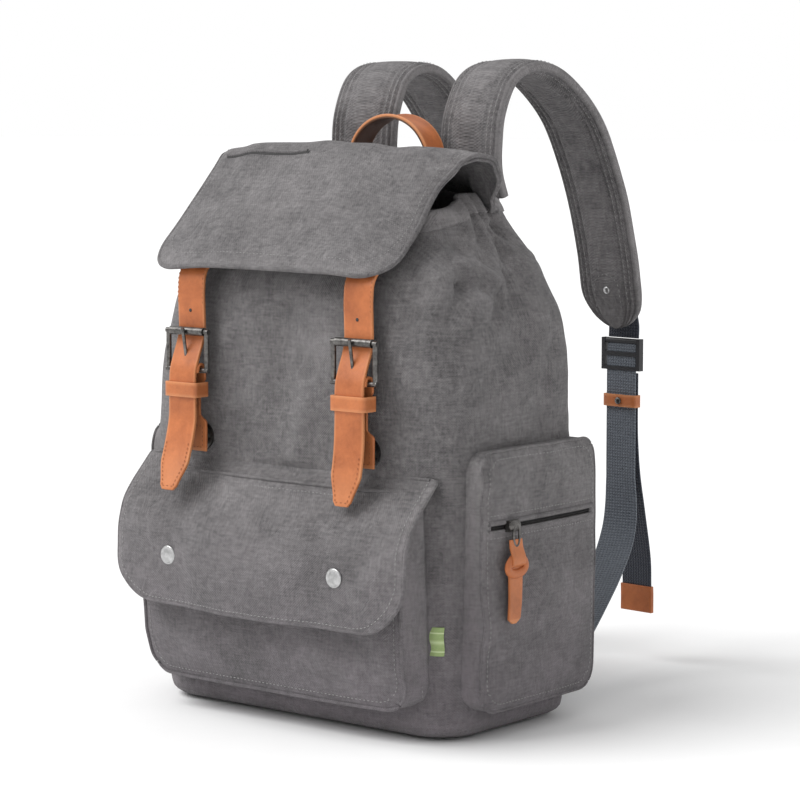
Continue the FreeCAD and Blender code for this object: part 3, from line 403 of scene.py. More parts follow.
# Cloth coordinates in metres, taken from the side that each face looks to
def boxMap(bm):
    bm.normal_update()
    layer = bm.loops.layers.uv.get("cloth") or bm.loops.layers.uv.new("cloth")
    for face in bm.faces:
        size = [abs(part) for part in face.normal]
        axis = size.index(max(size))
        first, second = ((1, 2), (0, 2), (0, 1))[axis]
        for loop in face.loops:
            loop[layer].uv = (loop.vert.co[first], loop.vert.co[second])


# A grid whose vertices are each put at place(u, v), with u and v from 0 to 1
def grid(columns, rows, place, size=None, merge=False):
    bm = bmesh.new()
    bmesh.ops.create_grid(bm, x_segments=columns, y_segments=rows, size=0.5)
    spots = [(vert, vert.co.x + 0.5, vert.co.y + 0.5) for vert in bm.verts]
    if size is not None:
        layer = bm.loops.layers.uv.new("cloth")
        for face in bm.faces:
            for loop in face.loops:
                loop[layer].uv = ((loop.vert.co.x + 0.5) * size[0], (loop.vert.co.y + 0.5) * size[1])
    for vert, u, v in spots:
        vert.co = place(u, v)
    if merge:
        bmesh.ops.remove_doubles(bm, verts=bm.verts, dist=1e-6)
    bm.normal_update()
    return bm


# Paints the per-vertex wear attribute from a function of each vertex's place: real wear on edges and seams,
# and on the flap straps also a painted sheen
def paintWearAndSheen(bm, wearAndSheen):
    layer = bm.verts.layers.float.get("wearAndSheen") or bm.verts.layers.float.new("wearAndSheen")
    for vert in bm.verts:
        vert[layer] = max(0.0, min(1.0, wearAndSheen(vert.co)))


# A smooth line through the points, evenly enough divided for a strap or a seam
def smoothLine(points, steps=10):
    points = [Vector(point) for point in points]
    ends = [points[0] * 2 - points[1]] + points + [points[-1] * 2 - points[-2]]
    line = []
    for a, b, c, d in zip(ends, ends[1:], ends[2:], ends[3:]):
        for step in range(steps):
            t = step / steps
            line.append(0.5 * (2 * b + (c - a) * t + (2 * a - 5 * b + 4 * c - d) * t * t
                               + (3 * b - a - 3 * c + d) * t * t * t))
    return line + [points[-1]]


# A line that gives its point and direction at any share of its length
class Line:
    def __init__(self, points, smooth=True):
        self.points = smoothLine(points) if smooth else [Vector(point) for point in points]
        self.marks = [0.0]
        for first, second in zip(self.points, self.points[1:]):
            self.marks.append(self.marks[-1] + (second - first).length)
        self.length = self.marks[-1]

    def point(self, share):
        far = max(0.0, min(1.0, share)) * self.length
        low, high = 0, len(self.marks) - 1
        while high - low > 1:
            middle = (low + high) // 2
            if self.marks[middle] <= far:
                low = middle
            else:
                high = middle
        span = max(self.marks[high] - self.marks[low], 1e-9)
        return self.points[low].lerp(self.points[high], (far - self.marks[low]) / span)

    def direction(self, share):
        step = 0.004
        return (self.point(share + step) - self.point(share - step)).normalized()


# A flat band along a line. halfWidth is a number or a function of the share of the length
def strip(line, across, halfWidth, columns, rows, crown=0.0):
    across = Vector(across).normalized()
    wide = halfWidth if callable(halfWidth) else (lambda share: halfWidth)

    def place(u, v):
        side = u * 2 - 1
        lift = line.direction(v).cross(across).normalized() * (-crown * side * side)
        return line.point(v) + across * (wide(v) * side) + lift

    return grid(columns, rows, place, size=(wide(0.3) * 2, line.length))


# A round bead along a line of points, made by a curve and turned into a mesh
def tube(name, points, radius, finish, closed=False, sides=3):
    curve = bpy.data.curves.new(name, "CURVE")
    curve.dimensions = "3D"
    curve.bevel_depth = radius
    curve.bevel_resolution = sides
    curve.use_fill_caps = not closed
    spline = curve.splines.new("POLY")
    spline.points.add(len(points) - 1)
    for spot, point in zip(spline.points, points):
        spot.co = (*point, 1.0)
    spline.use_cyclic_u = closed
    holder = bpy.data.objects.new(name + ".line", curve)
    mesh = bpy.data.meshes.new_from_object(holder)
    bpy.data.objects.remove(holder)
    bpy.data.curves.remove(curve)
    bm = bmesh.new()
    bm.from_mesh(mesh)
    bpy.data.meshes.remove(mesh)
    bmesh.ops.recalc_face_normals(bm, faces=bm.faces)
    return keep(bm, name, finish)


def stitchForm(length, width):
    bm = bmesh.new()
    bmesh.ops.create_uvsphere(bm, u_segments=6, v_segments=4, radius=1.0,
                              matrix=Matrix.Diagonal((length / 2, width / 2, width * 0.32, 1.0)))
    mesh = bpy.data.meshes.new("stitch")
    bm.to_mesh(mesh)
    bm.free()
    return mesh


# Sewn rows. Each row is a list of points on the surface and the way that it faces
def stitches(name, rows, finish, length=2.3, width=0.75, gap=1.3):
    form = stitchForm(mm(length), mm(width))
    bm = bmesh.new()
    for points, facing in rows:
        line = Line(points, smooth=False)
        count = max(1, int(line.length / mm(length + gap)))
        for number in range(count):
            share = (number + 0.5) / count
            forward = line.direction(share)
            up = facing(line.point(share)) if callable(facing) else Vector(facing)
            side = up.cross(forward).normalized()
            up = forward.cross(side).normalized()
            turn = Matrix((forward, side, up)).transposed().to_4x4()
            copy = form.copy()
            copy.transform(Matrix.Translation(line.point(share)) @ turn)
            bm.from_mesh(copy)
            bpy.data.meshes.remove(copy)
    bpy.data.meshes.remove(form)
    return keep(bm, name, finish)


def ripple(point, scale, seed=0.0):
    return noise.noise(Vector(point) * scale + Vector((seed, seed * 1.7, seed * 0.6)))


# Pushes a point along its normal near each fold: (start, end, width mm, height mm)
def folded(point, normal, folds):
    push = 0.0
    for start, end, width, height in folds:
        start, end = at(*start), at(*end)
        span = end - start
        share = max(0.0, min(1.0, (point - start).dot(span) / span.length_squared))
        distance = (point - start - span * share).length
        fade = 1.0 - 0.45 * share
        push += mm(height) * fade * math.exp(-(distance / mm(width)) ** 2)
    return point + normal * push


# Maps a square to a rectangle with round corners: low is the radius at the bottom, high at the top
def roundedSpot(u, v, halfWide, halfTall, low, high):
    x, z = (u * 2 - 1) * halfWide, (v * 2 - 1) * halfTall
    radius = low if z < 0 else high
    if radius <= 0:
        return x, z
    over = (abs(x) - (halfWide - radius)) / radius
    above = (abs(z) - (halfTall - radius)) / radius
    if over > 0 and above > 0:
        a, b = over * math.sqrt(1 - above * above / 2), above * math.sqrt(1 - over * over / 2)
        x = math.copysign(halfWide - radius + a * radius, x)
        z = math.copysign(halfTall - radius + b * radius, z)
    return x, z


# Shares round the rim of a square, for beads and stitches: b, r, t and l are its sides
def rimShares(count, sides="bltr"):
    runs = {"b": lambda t: (t, 0.0), "r": lambda t: (1.0, t),
            "t": lambda t: (1.0 - t, 1.0), "l": lambda t: (0.0, 1.0 - t)}
    shares = []
    for side in sides:
        for step in range(count):
            shares.append(runs[side](step / count))
    last = runs[sides[-1]](1.0)
    return shares if len(sides) == 4 else shares + [last]


def smoothStep(value, low, high):
    share = max(0.0, min(1.0, (value - low) / (high - low)))
    return share * share * (3 - 2 * share)


sack = {
    "sections": [  # z, half width, front, back, corner, all in mm
        (0.6, 133, 61, 61, 26), (2.5, 140, 68, 68, 30), (8, 145.5, 73, 73, 32), (30, 147, 75, 74, 32),
        (120, 149.5, 80, 77, 35), (225, 150, 86, 79, 40), (290, 146, 84, 79, 44), (335, 128, 77, 74, 46),
        (366, 104, 50, 67, 42), (378, 94, 47, 66, 42), (394, 85, 42, 58, 40)],
    "shares": (0.13, 0.05, 0.14, 0.05, 0.26, 0.05, 0.14, 0.05, 0.13),
    "columns": 260,
    "rows": 150,
    "wall": 2.0,
    "mouth": {"front": 377, "sides": 393},
    "rearCorner": 0.55,
    "foldGain": 1.9,
    "folds": [
        ((113, -20, 354), (122, -2, 342), 6, -4.5), ((117, -29, 348), (129, 10, 332), 10, 5.0),
        ((132, -21, 325), (130, -39, 328), 5, -3.5), ((130, -39, 328), (131, -62, 306), 6, -5.0),
        ((134, -24, 320), (141, -49, 299), 10, 3.5), ((128, 11, 333), (137, 7, 312), 6, -4.0),
        ((134, -4, 319), (141, -18, 302), 5, -3.5), ((129, -9, 332), (131, 3, 328), 8, 4.0),
        ((102, 32, 368), (99, 49, 371), 5, -3.5), ((88, -20, 380), (98, 18, 373), 10, 4.0),
        ((104, 39, 365), (130, 11, 331), 6, -4.0), ((118, 49, 348), (135, 35, 318), 9, 4.0),
        ((146, 2, 288), (147, -32, 263), 13, -2.5), ((137, -74, 186), (145, -64, 169), 7, -3.5),
        ((142, -70, 200), (147, -58, 179), 8, 3.0), ((141, 34, 301), (149, 41, 242), 12, 3.0),
        ((113, -67, 331), (110, -80, 300), 9, -3.0), ((119, -56, 336), (126, -74, 296), 12, 3.5),
        ((146, 40, 283), (150, 29, 228), 10, -2.5), ((108, -83, 289), (131, -78, 240), 14, 2.5),
        ((-39, -80, 314), (-24, -84, 271), 12, 2.2), ((1, -81, 309), (-5, -85, 242), 14, -2.0),
        ((-55, -84, 291), (-60, -86, 223), 12, 2.5), ((24, -85, 244), (14, -84, 202), 12, 2.2),
        ((105, -85, 235), (138, -74, 215), 10, -2.5), ((-112, -44, 352), (-134, -50, 310), 11, 4.0),
        ((-104, 0, 364), (-136, 10, 316), 10, 4.5), ((-106, 30, 360), (-132, 46, 322), 9, -4.0),
        ((-146, -40, 262), (-149, 20, 240), 13, 3.0), ((-140, -60, 290), (-146, -20, 276), 9, -2.5)],
}


def sectionAt(height, sections):
    rows = sections
    if height <= rows[0][0]:
        return rows[0][1:]
    for index in range(len(rows) - 1):
        low, high = rows[index], rows[index + 1]
        if height <= high[0]:
            before = rows[max(0, index - 1)]
            after = rows[min(len(rows) - 1, index + 2)]
            span = high[0] - low[0]
            t = (height - low[0]) / span
            values = []
            for part in range(1, 5):
                leftSlope = (high[part] - before[part]) / (high[0] - before[0]) * span
                rightSlope = (after[part] - low[part]) / (after[0] - low[0]) * span
                if index == 0 or index >= len(rows) - 3:
                    leftSlope = rightSlope = high[part] - low[part]
                h = t * t * (3 - 2 * t)
                values.append(low[part] + (high[part] - low[part]) * h + leftSlope * (t - 2 * t * t + t ** 3)
                              + rightSlope * (t ** 3 - t * t))
            return values
    return rows[-1][1:]


# Point and outward normal of the sack's plain outline, without folds. Share 0 is the back's middle
def sackOutline(share, height):
    half, front, back, corner = sectionAt(height, sack["sections"])
    corner = min(corner, half - 2, (front + back) / 2 - 2)
    rear = corner * sack["rearCorner"]
    runs = [
        ((0, back), (half - rear, back), None), ((half - rear, back - rear), rear, 90),
        ((half, back - rear), (half, -front + corner), None), ((half - corner, -front + corner), corner, 0),
        ((half - corner, -front), (-half + corner, -front), None),
        ((-half + corner, -front + corner), corner, -90),
        ((-half, -front + corner), (-half, back - rear), None), ((-half + rear, back - rear), rear, -180),
        ((-half + rear, back), (0, back), None)]
    rest = share % 1.0 if share != 1.0 else 1.0
    for run, part in zip(runs, sack["shares"]):
        if rest <= part + 1e-9:
            t = rest / part
            if run[2] is None:
                start, end = Vector(run[0]), Vector(run[1])
                spot = start.lerp(end, t)
                way = (end - start).normalized()
                normal = Vector((way.y, -way.x))
                if normal.dot(spot) < 0:
                    normal = -normal
            else:
                angle = math.radians(run[2] - 90 * t)
                normal = Vector((math.cos(angle), math.sin(angle)))
                spot = Vector(run[0]) + normal * run[1]
            return at(spot.x, spot.y, height), Vector((normal.x, normal.y, 0.0))
        rest -= part
    return at(0, back, height), Vector((0, 1, 0))


def sackPoint(share, height, proud=0.0):
    point, normal = sackOutline(share, height)
    x, y = point.x * 1000, point.y * 1000
    calm = 1.0
    if height < 214 and abs(y) < 76:
        calm = 0.15
    if height < 196 and y < -60 and abs(x) < 132:
        calm = 0.15
    if y > 55 and abs(x) < 118:
        calm = 0.1 + 0.5 * smoothStep(height, 300, 350)
    swell = ripple(point, 11, 3.0) * 3.2 + ripple(point, 28, 8.0) * 1.5 + ripple(point, 75, 1.0) * 0.45
    gathers = smoothStep(height, 296, 370)
    wave = math.sin(share * 2 * math.pi * 21 + ripple(point, 20, 5.0) * 3.0) * 3.0 * gathers * gathers
    rim = smoothStep(height, 0, 26)
    point = point + normal * mm((swell + wave) * calm * rim + proud)
    if calm > 0.2:
        point = folded(point, normal * sack["foldGain"], sack["folds"])
    return point


def mouthHeight(share):
    front = smoothStep(abs(share - 0.5), 0.12, 0.24)
    return sack["mouth"]["front"] + (sack["mouth"]["sides"] - sack["mouth"]["front"]) * front


def makeSack():
    bottom = 0.6

    def place(u, v):
        height = bottom + (mouthHeight(u) - bottom) * (v * 0.9 + 0.1 * v * v)
        return sackPoint(u, height, 1.2)

    bm = grid(sack["columns"], sack["rows"], place, merge=True)
    paintWearAndSheen(bm, lambda spot: 0.7 * math.exp(-abs(spot.z - 0.012) / 0.006)
            + 0.25 * max(0.0, ripple(spot, 22, 2.0))
            + 0.35 * smoothStep(spot.z, 0.30, 0.36) * abs(ripple(spot, 40, 6.0)))
    made = keep(bm, "sackCloth", canvas, wall=mm(sack["wall"]), inner=liningCloth, facing="out")
    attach(made, "root")
    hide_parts("front_panel", "back_panel", "side_panel_left", "side_panel_right", "lining")
    return made


def makeBase():
    bm = bmesh.new()
    loop = [sackPoint(step / 120, 3.0, -1.0) for step in range(120)]
    verts = [bm.verts.new(point) for point in loop]
    bmesh.ops.contextual_create(bm, geom=verts)
    face = bm.faces[:]
    bmesh.ops.inset_region(bm, faces=face, thickness=mm(4), use_even_offset=True)
    middle = [face for face in bm.faces if len(face.verts) > 8]
    bmesh.ops.inset_region(bm, faces=middle, thickness=mm(12), use_even_offset=True)
    for vert in bm.verts:
        if vert.co.z > 0.0029 and not any(vert.co == point for point in loop):
            vert.co.z = 0.0004
    paintWearAndSheen(bm, lambda spot: 0.4)
    made = keep(bm, "baseCloth", canvas, wall=mm(1.6), facing=(0, 0, -1))
    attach(made, "root")
    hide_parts("base_panel")


def makeHem():
    def place(u, v):
        height = mouthHeight(u) - 13 + 14.5 * v
        bulge = math.sin(v * math.pi) * 1.6
        return sackPoint(u, height, 2.0 + bulge)

    bm = grid(sack["columns"], 8, place, merge=True)
    paintWearAndSheen(bm, lambda spot: 0.35 + 0.5 * smoothStep(spot.z, 0.373, 0.379))
    made = keep(bm, "mouthHem", canvas, wall=mm(2.6), inner=liningCloth, facing="out")
    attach(made, "root")
    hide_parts("mouth_hem")


makeSack()
makeBase()
makeHem()
print("sack sewn")


frontPocket = {
    "half": 127, "low": 26, "high": 184, "corner": 20,
    "face": [(26, -100.5), (40, -105.5), (60, -110), (115, -114), (158, -110.5), (172, -104), (184, -96)],
    "folds": [((-70, -110, 52), (-10, -112, 40), 12, 1.6), ((60, -112, 60), (100, -110, 36), 12, 1.8),
              ((-110, -108, 30), (-60, -108, 44), 10, 2.0), ((20, -112, 34), (70, -110, 46), 8, -1.4),
              ((100, -110, 86), (122, -110, 50), 9, 1.6)],
}


def heightsToDepth(table, height):
    for (lowZ, lowY), (highZ, highY) in zip(table, table[1:]):
        if height <= highZ:
            t = smoothStep(height, lowZ, highZ) * 0.4 + 0.6 * max(0.0, (height - lowZ) / (highZ - lowZ))
            return lowY + (highY - lowY) * t
    return table[-1][1]


def pocketFace(u, v, inset=0.0):
    size = frontPocket
    halfTall = (size["high"] - size["low"]) / 2
    x, z = roundedSpot(u, v, size["half"] - inset, halfTall - inset, size["corner"], 10)
    z += size["low"] + halfTall
    depth = heightsToDepth(size["face"], z)
    side = abs(x) / size["half"]
    depth += 5.0 * side ** 6 + 1.5 * side ** 2
    point = at(x, depth, z)
    point += Vector((0, -1, 0)) * mm(ripple(point, 14, 4.0) * 1.8 + ripple(point, 40, 9.0) * 0.8)
    return folded(point, Vector((0, -1.6, 0)), size["folds"])


def makeFrontPocket():
    size = frontPocket
    bm = grid(90, 60, pocketFace)
    rim = [edge for edge in bm.edges if edge.is_boundary]
    steps = 7
    for step in range(steps):
        made = bmesh.ops.extrude_edge_only(bm, edges=rim)["geom"]
        fresh = [part for part in made if isinstance(part, bmesh.types.BMVert)]
        rim = [part for part in made if isinstance(part, bmesh.types.BMEdge)]
        share = (step + 1) / steps
        for vert in fresh:
            height = max(26.0, min(184.0, vert.co.z * 1000))
            wall = -mm(sectionAt(height, sack["sections"])[1] - 1.5)
            left = steps - step
            vert.co.y += (wall - vert.co.y) / left
            swell = math.sin(share * math.pi) * 0.35
            vert.co.x += math.copysign(mm(swell), vert.co.x) if abs(vert.co.x) > 0.12 else 0.0
            vert.co.z -= mm(swell * 0.7) if vert.co.z < 0.034 else 0.0
    paintWearAndSheen(bm, lambda spot: 0.55 * smoothStep(abs(spot.x), 0.1215, 0.1262)
            + 0.3 * max(0.0, ripple(spot, 26, 3.0)))
    made = keep(bm, "frontPocket", canvas, wall=mm(1.8), facing=(0, -1, 0))
    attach(made, "root")
    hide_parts("front_pocket_body")
    edge = [pocketFace(u, v) + Vector((0, -0.0002, 0)) for u, v in rimShares(70)]
    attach(tube("frontPocketPiping", edge, mm(1.5), canvas, closed=True), "root")
    rows = [([pocketFace(u, v, 5.5) + Vector((0, -0.0003, 0)) for u, v in rimShares(60)], (0, -1, 0))]
    gusset = []
    for hand in (1, -1):
        line = []
        for step in range(40):
            height = 34 + 138 * step / 39
            wall = sectionAt(height, sack["sections"])[1]
            front = -heightsToDepth(size["face"], height) - 6.5
            line.append(at(hand * 127.9, -(wall * 0.72 + front * 0.28), height))
        gusset.append((line, (hand, 0, 0)))
    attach(stitches("frontPocketStitches", rows + gusset, paleThread), "root")


makeFrontPocket()

pocketFlap = {
    "half": 141, "corner": 36, "wall": 2.6,
    "route": [(-83, 196), (-93, 186), (-106, 173), (-114.8, 162.5), (-119.6, 152), (-124, 138),
              (-125.6, 122), (-125.8, 104), (-124.2, 86)],
    "folds": [((-120, -120, 150), (-60, -124, 128), 13, 2.0), ((-40, -124, 140), (30, -126, 112), 16, 2.2),
              ((60, -120, 160), (100, -124, 128), 12, -1.5), ((110, -122, 120), (135, -120, 150), 10, 2.2),
              ((-130, -122, 110), (-100, -124, 95), 10, 1.8)],
}
flapRoute = Line([at(0, y, z) for y, z in pocketFlap["route"]])


# u runs across, v from the hem at 0 to the seam at 1
def pocketFlapPoint(u, v, inset=0.0, lift=0.0):
    size = pocketFlap
    tall = flapRoute.length * 1000 / 2
    x, s = roundedSpot(u, v, size["half"] - inset, tall - inset * 0.5, size["corner"], 4)
    s += inset * 0.5 if v > 0.5 else 0.0
    share = 1 - (s + tall) / (2 * tall)
    point = flapRoute.point(share)
    way = flapRoute.direction(share)
    normal = Vector((0, way.z, -way.y))
    if normal.y > 0 and abs(normal.y) > 0.3 or normal.z < -0.5:
        normal = -normal
    side = abs(x) / size["half"]
    free = smoothStep(share, 0.2, 0.75)
    bulge = 5.5 * max(0.0, 1 - (x / 66) ** 2) * smoothStep(share, 0.35, 0.8) + 2.0 * free * (1 - side ** 2)
    tuck = 6.0 * side ** 5 * (0.35 + 0.65 * free)
    flare = 5.5 * smoothStep(x, 60, 141) * smoothStep(share, 0.6, 1.0) * 0.6
    point = Vector((mm(x), point.y, point.z))
    rough = ripple(point, 12, 6.0) * 1.6 + ripple(point, 34, 2.0) * 0.8
    snaps = max(math.exp(-((x - 82) / 16) ** 2), math.exp(-((x + 82) / 16) ** 2))
    snaps *= math.exp(-((share - 0.62) / 0.12) ** 2)
    point += normal * mm((bulge + rough * free - tuck + flare) * (1 - snaps) + lift)
    return folded(point, normal * (1.5 - 1.5 * snaps), size["folds"])


def makePocketFlap():
    bm = grid(110, 64, pocketFlapPoint)
    paintWearAndSheen(bm, lambda spot: 0.7 * smoothStep(abs(spot.x), 0.1365, 0.1405)
            + 0.25 * max(0.0, ripple(spot, 30, 7.0)))
    cover = keep(bm, "pocketFlapCloth", canvas, wall=mm(pocketFlap["wall"]), facing=(0, -1, 0))
    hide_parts("pocket_flap", "pocket_flap_band")
    rim = [pocketFlapPoint(u, v, 0.2, -1.2) for u, v in rimShares(90, "lbr")]
    edge = tube("pocketFlapEdge", rim, mm(1.55), canvas)
    seam = [pocketFlapPoint(0.02 + 0.96 * step / 60, 0.985, 0, 0.2) for step in range(61)]
    ridge = tube("pocketFlapSeam", seam, mm(1.2), canvas)
    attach(ridge, "root")
    rows = [([pocketFlapPoint(u, v, 6.0, 0.15) for u, v in rimShares(90, "lbr")], (0, -1, 0))]
    sewn = stitches("pocketFlapStitches", rows, paleThread)
    for made in (cover, edge, sewn):
        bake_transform(made)


makePocketFlap()
print("front pocket sewn")


sidePocket = {
    "half": 70, "mid": 12, "low": 22, "high": 212, "corner": 18, "face": 165.6, "wall": 1.8,
    "slot": (155.6, 160.4), "slotHalf": 61, "zipLine": 158,
    "folds": [((166, -60, 196), (166, 10, 188), 12, 2.0), ((166, 20, 200), (166, 60, 180), 12, 2.2),
              ((166, -20, 140), (166, 50, 128), 12, -1.6), ((166, 10, 100), (166, 64, 78), 14, 2.2),
              ((166, -60, 90), (166, -20, 60), 13, 1.8), ((166, -30, 44), (166, 40, 34), 12, 1.6),
              ((166, -70, 206), (166, -45, 200), 5, -1.8), ((166, -62, 200), (166, -18, 190), 6, -1.8),
              ((166, -67, 204), (166, -17, 196), 8, 1.6), ((166, -16, 131), (166, 53, 92), 14, 1.4)],
}


def sidePocketPoint(hand, u, v, inset=0.0, lift=0.0):
    size = sidePocket
    halfTall = (size["high"] - size["low"]) / 2
    y, z = roundedSpot(u, v, size["half"] - inset, halfTall - inset, size["corner"], 14)
    z += size["low"] + halfTall
    side, rise = abs(y) / size["half"], abs(z - 117) / halfTall
    along = y + size["mid"]
    out = size["face"] + 1.6 * (1 - side ** 2) * (1 - rise ** 2) - 3.0 * side ** 7 - 3.5 * rise ** 9
    slot = math.exp(-((z - 158) / 6.5) ** 2) * (1 - smoothStep(abs(y), 60, 66))
    out -= 0.6 * slot
    point = at(hand * out, along, z)
    normal = Vector((hand, 0, 0))
    rough = ripple(point, 15, 2.0 + hand) * 1.6 + ripple(point, 42, 5.0) * 0.7
    point += normal * mm(rough * (1 - slot) + lift)
    folds = [((hand * a[0], a[1], a[2]), (hand * b[0], b[1], b[2]), width, 1.7 * high * (1 - slot))
             for a, b, width, high in size["folds"]]
    return folded(point, normal, folds)


# How far out the sack's side is at a place along it
def sackSide(y, height):
    half, front, back, corner = sectionAt(height, sack["sections"])
    if y > 0:
        corner *= sack["rearCorner"]
    over = max(y - (back - corner), -y - (front - corner), 0.0)
    return half - corner + math.sqrt(max(0.0, corner ** 2 - min(over, corner) ** 2))


# Evens the rows so that two of them run along the lips of the zip's slot
def slotRow(v):
    size = sidePocket
    span = size["high"] - size["low"]
    low, high = [(level - size["low"]) / span for level in size["slot"]]
    marks = [(0.0, 0.0), (0.70, low), (0.74, high), (1.0, 1.0)]
    for (a, b), (c, d) in zip(marks, marks[1:]):
        if v <= c + 1e-9:
            return b + (d - b) * (v - a) / (c - a)
    return 1.0


def makeSidePocket(name, hand):
    size = sidePocket
    bm = grid(62, 100, lambda u, v: sidePocketPoint(hand, u, slotRow(v)))
    low, high = size["slot"]
    mid, reach, zipLine = size["mid"], size["slotHalf"], size["zipLine"]
    gone = []
    for face in bm.faces:
        spot = face.calc_center_median() * 1000
        if low < spot.z < high and abs(spot.y - mid) < reach:
            gone.append(face)
    bmesh.ops.delete(bm, geom=gone, context="FACES")
    rim = []
    for edge in bm.edges:
        spot = edge.verts[0].co * 1000
        if edge.is_boundary and (abs(spot.z - zipLine) > 8 or abs(spot.y - mid) > reach + 3):
            rim.append(edge)
    steps = 5
    for step in range(steps):
        made = bmesh.ops.extrude_edge_only(bm, edges=rim)["geom"]
        fresh = [part for part in made if isinstance(part, bmesh.types.BMVert)]
        rim = [part for part in made if isinstance(part, bmesh.types.BMEdge)]
        for vert in fresh:
            wall = hand * mm(sackSide(vert.co.y * 1000, vert.co.z * 1000) - 1.5)
            vert.co.x += (wall - vert.co.x) / (steps - step)
            swell = math.sin((step + 1) / steps * math.pi) * 0.3
            vert.co.y += math.copysign(mm(swell), vert.co.y - mm(mid))
    paintWearAndSheen(bm, lambda spot: 0.6 * smoothStep(abs(spot.y - mm(mid)), 0.0655, 0.0695)
            + 0.45 * math.exp(-abs(abs(spot.z - mm(zipLine)) - 0.0045) / 0.0016)
            + 0.3 * max(0.0, ripple(spot, 30, 4.0)))
    pocket = keep(bm, f"sidePocket_{name}", canvas, wall=mm(size["wall"]), facing=(hand, 0, 0))
    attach(pocket, "root")
    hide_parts(f"side_pocket_{name}")
    edge = [sidePocketPoint(hand, u, v, 0, -0.2) for u, v in rimShares(60)]
    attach(tube(f"sidePocketEdge_{name}", edge, mm(1.1), canvas, closed=True), "root")


    def across(start, end, level, steps, lift):
        v = (level - size["low"]) / (size["high"] - size["low"])
        spots = [start + (end - start) * step / steps for step in range(steps + 1)]
        return [sidePocketPoint(hand, u, v, 0, lift) for u in spots]

    for label, level, thick in (("upper", high + 0.7, 1.9), ("lower", low - 0.6, 0.9)):
        lip = across(0.045, 0.955, level, 50, 0.2)
        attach(tube(f"zipWelt_{label}_{name}", lip, mm(thick), canvas), "root")
    span = size["high"] - size["low"]
    under = (zipLine - 6 - size["low"]) / span
    bm = grid(60, 6, lambda u, v: sidePocketPoint(hand, 0.05 + 0.9 * u, under + 12 * v / span, 0, -1.9))
    tape = keep(bm, f"zipTape_{name}", greyTape, wall=mm(0.6), facing=(hand, 0, 0))
    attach(tape, "root")
    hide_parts(f"side_zip_{name}")
    chain = across(0.06, 0.94, zipLine, 60, -1.3)
    for label, offset in (("low", -0.9), ("high", 0.9)):
        line = [spot + at(0, 0, offset) for spot in chain]
        row = stitches(f"zipCoil_{label}_{name}", [(line, (hand, 0, 0))], zipTape,
                       length=1.1, width=2.2, gap=0.4)
        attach(row, "root")
    rows = [([sidePocketPoint(hand, u, v, 5.5, 0.15) for u, v in rimShares(60)], (hand, 0, 0))]
    for level in (high + 6.0, low - 5.5):
        rows.append((across(0.05, 0.95, level, 50, 0.15), (hand, 0, 0)))
    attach(stitches(f"sidePocketStitches_{name}", rows, paleThread), "root")


for sideName, hand in (("right", 1), ("left", -1)):
    makeSidePocket(sideName, hand)
print("side pockets sewn")


topFlap = {
    "half": 131, "corner": 36, "wall": 3.0,
    "route": [(79.5, 337), (74.5, 360), (73, 380), (63, 395), (45, 408), (22, 422), (4, 428.6),
              (-12, 427.6), (-27, 414.5), (-60, 382.5), (-84, 359), (-104, 339.5)],
    "width": [(0.0, 92), (0.12, 93), (0.22, 98), (0.31, 106), (0.404, 119), (0.474, 128),
              (0.533, 131), (1.0, 131)],
    "rightSide": [(0.0, 1.0), (0.42, 0.99), (0.49, 0.90), (0.56, 0.80), (0.66, 0.755),
                  (0.84, 0.78), (1.0, 0.83)],
    "leftSide": [(0.0, 1.0), (0.60, 1.0), (1.0, 1.01)],
    "folds": [((-90, -20, 418), (-70, -80, 362), 14, 1.6), ((-20, -14, 424), (-50, -70, 372), 16, 1.8),
              ((40, -10, 426), (90, -60, 382), 14, -1.8), ((100, -30, 410), (60, -90, 354), 15, 1.9),
              ((120, -8, 424), (124, -60, 380), 9, 2.2), ((-124, -14, 424), (-122, -66, 378), 9, 1.8),
              ((-100, -6, 427), (60, -9, 427), 6, 0.9), ((0, -70, 374), (80, -80, 362), 12, -1.2)],
}
crestRoute = Line([at(0, y, z) for y, z in topFlap["route"]])


def tableValue(table, share):
    for (a, b), (c, d) in zip(table, table[1:]):
        if share <= c:
            return b + (d - b) * smoothStep(share, a, c)
    return table[-1][1]


# u runs across, v from the front hem at 0 to the seam on the back at 1
def topFlapPoint(u, v, inset=0.0, lift=0.0):
    size = topFlap
    tall = crestRoute.length * 1000 / 2
    x, s = roundedSpot(u, v, size["half"] - inset, tall - inset / 2, size["corner"], 0)
    if inset:
        s += inset / 2
        s = -tall + inset + (s + tall) * (2 * tall - inset) / (2 * tall)
    share = 1 - (s + tall) / (2 * tall)
    wide = tableValue(size["width"], share)
    part = tableValue(size["rightSide" if x > 0 else "leftSide"], share)
    x *= wide / size["half"] * part
    point = crestRoute.point(share)
    way = crestRoute.direction(share)
    normal = Vector((0, way.z, -way.y))
    if normal.z < 0 and share > 0.3 or share <= 0.3 and normal.y < 0:
        normal = -normal
    side = abs(x) / (wide * part)
    front = smoothStep(share, 0.42, 0.6)
    droop = 7.0 * side ** 4 * (0.5 + 0.5 * front) + 2.0 * side ** 12
    half, _, _, corner = sectionAt(point.z * 1000, sack["sections"])
    corner *= sack["rearCorner"]
    over = max(0.0, min(abs(x) - (half - corner), corner * 0.97))
    wrap = (corner - math.sqrt(corner * corner - over * over)) * (1 - smoothStep(share, 0.24, 0.40))
    belly = 2.5 * (1 - side ** 2) * front
    point = Vector((mm(x), point.y, point.z))
    rough = ripple(point, 10, 1.0) * 2.2 + ripple(point, 30, 4.0) * 0.9
    hood = 13 * side ** 3 * smoothStep(share, 0.16, 0.28) * (1 - smoothStep(share, 0.32, 0.46))
    point += normal * mm(belly + rough - droop + lift) - Vector((0, mm(wrap), mm(hood)))
    return folded(point, normal * 1.4, size["folds"])


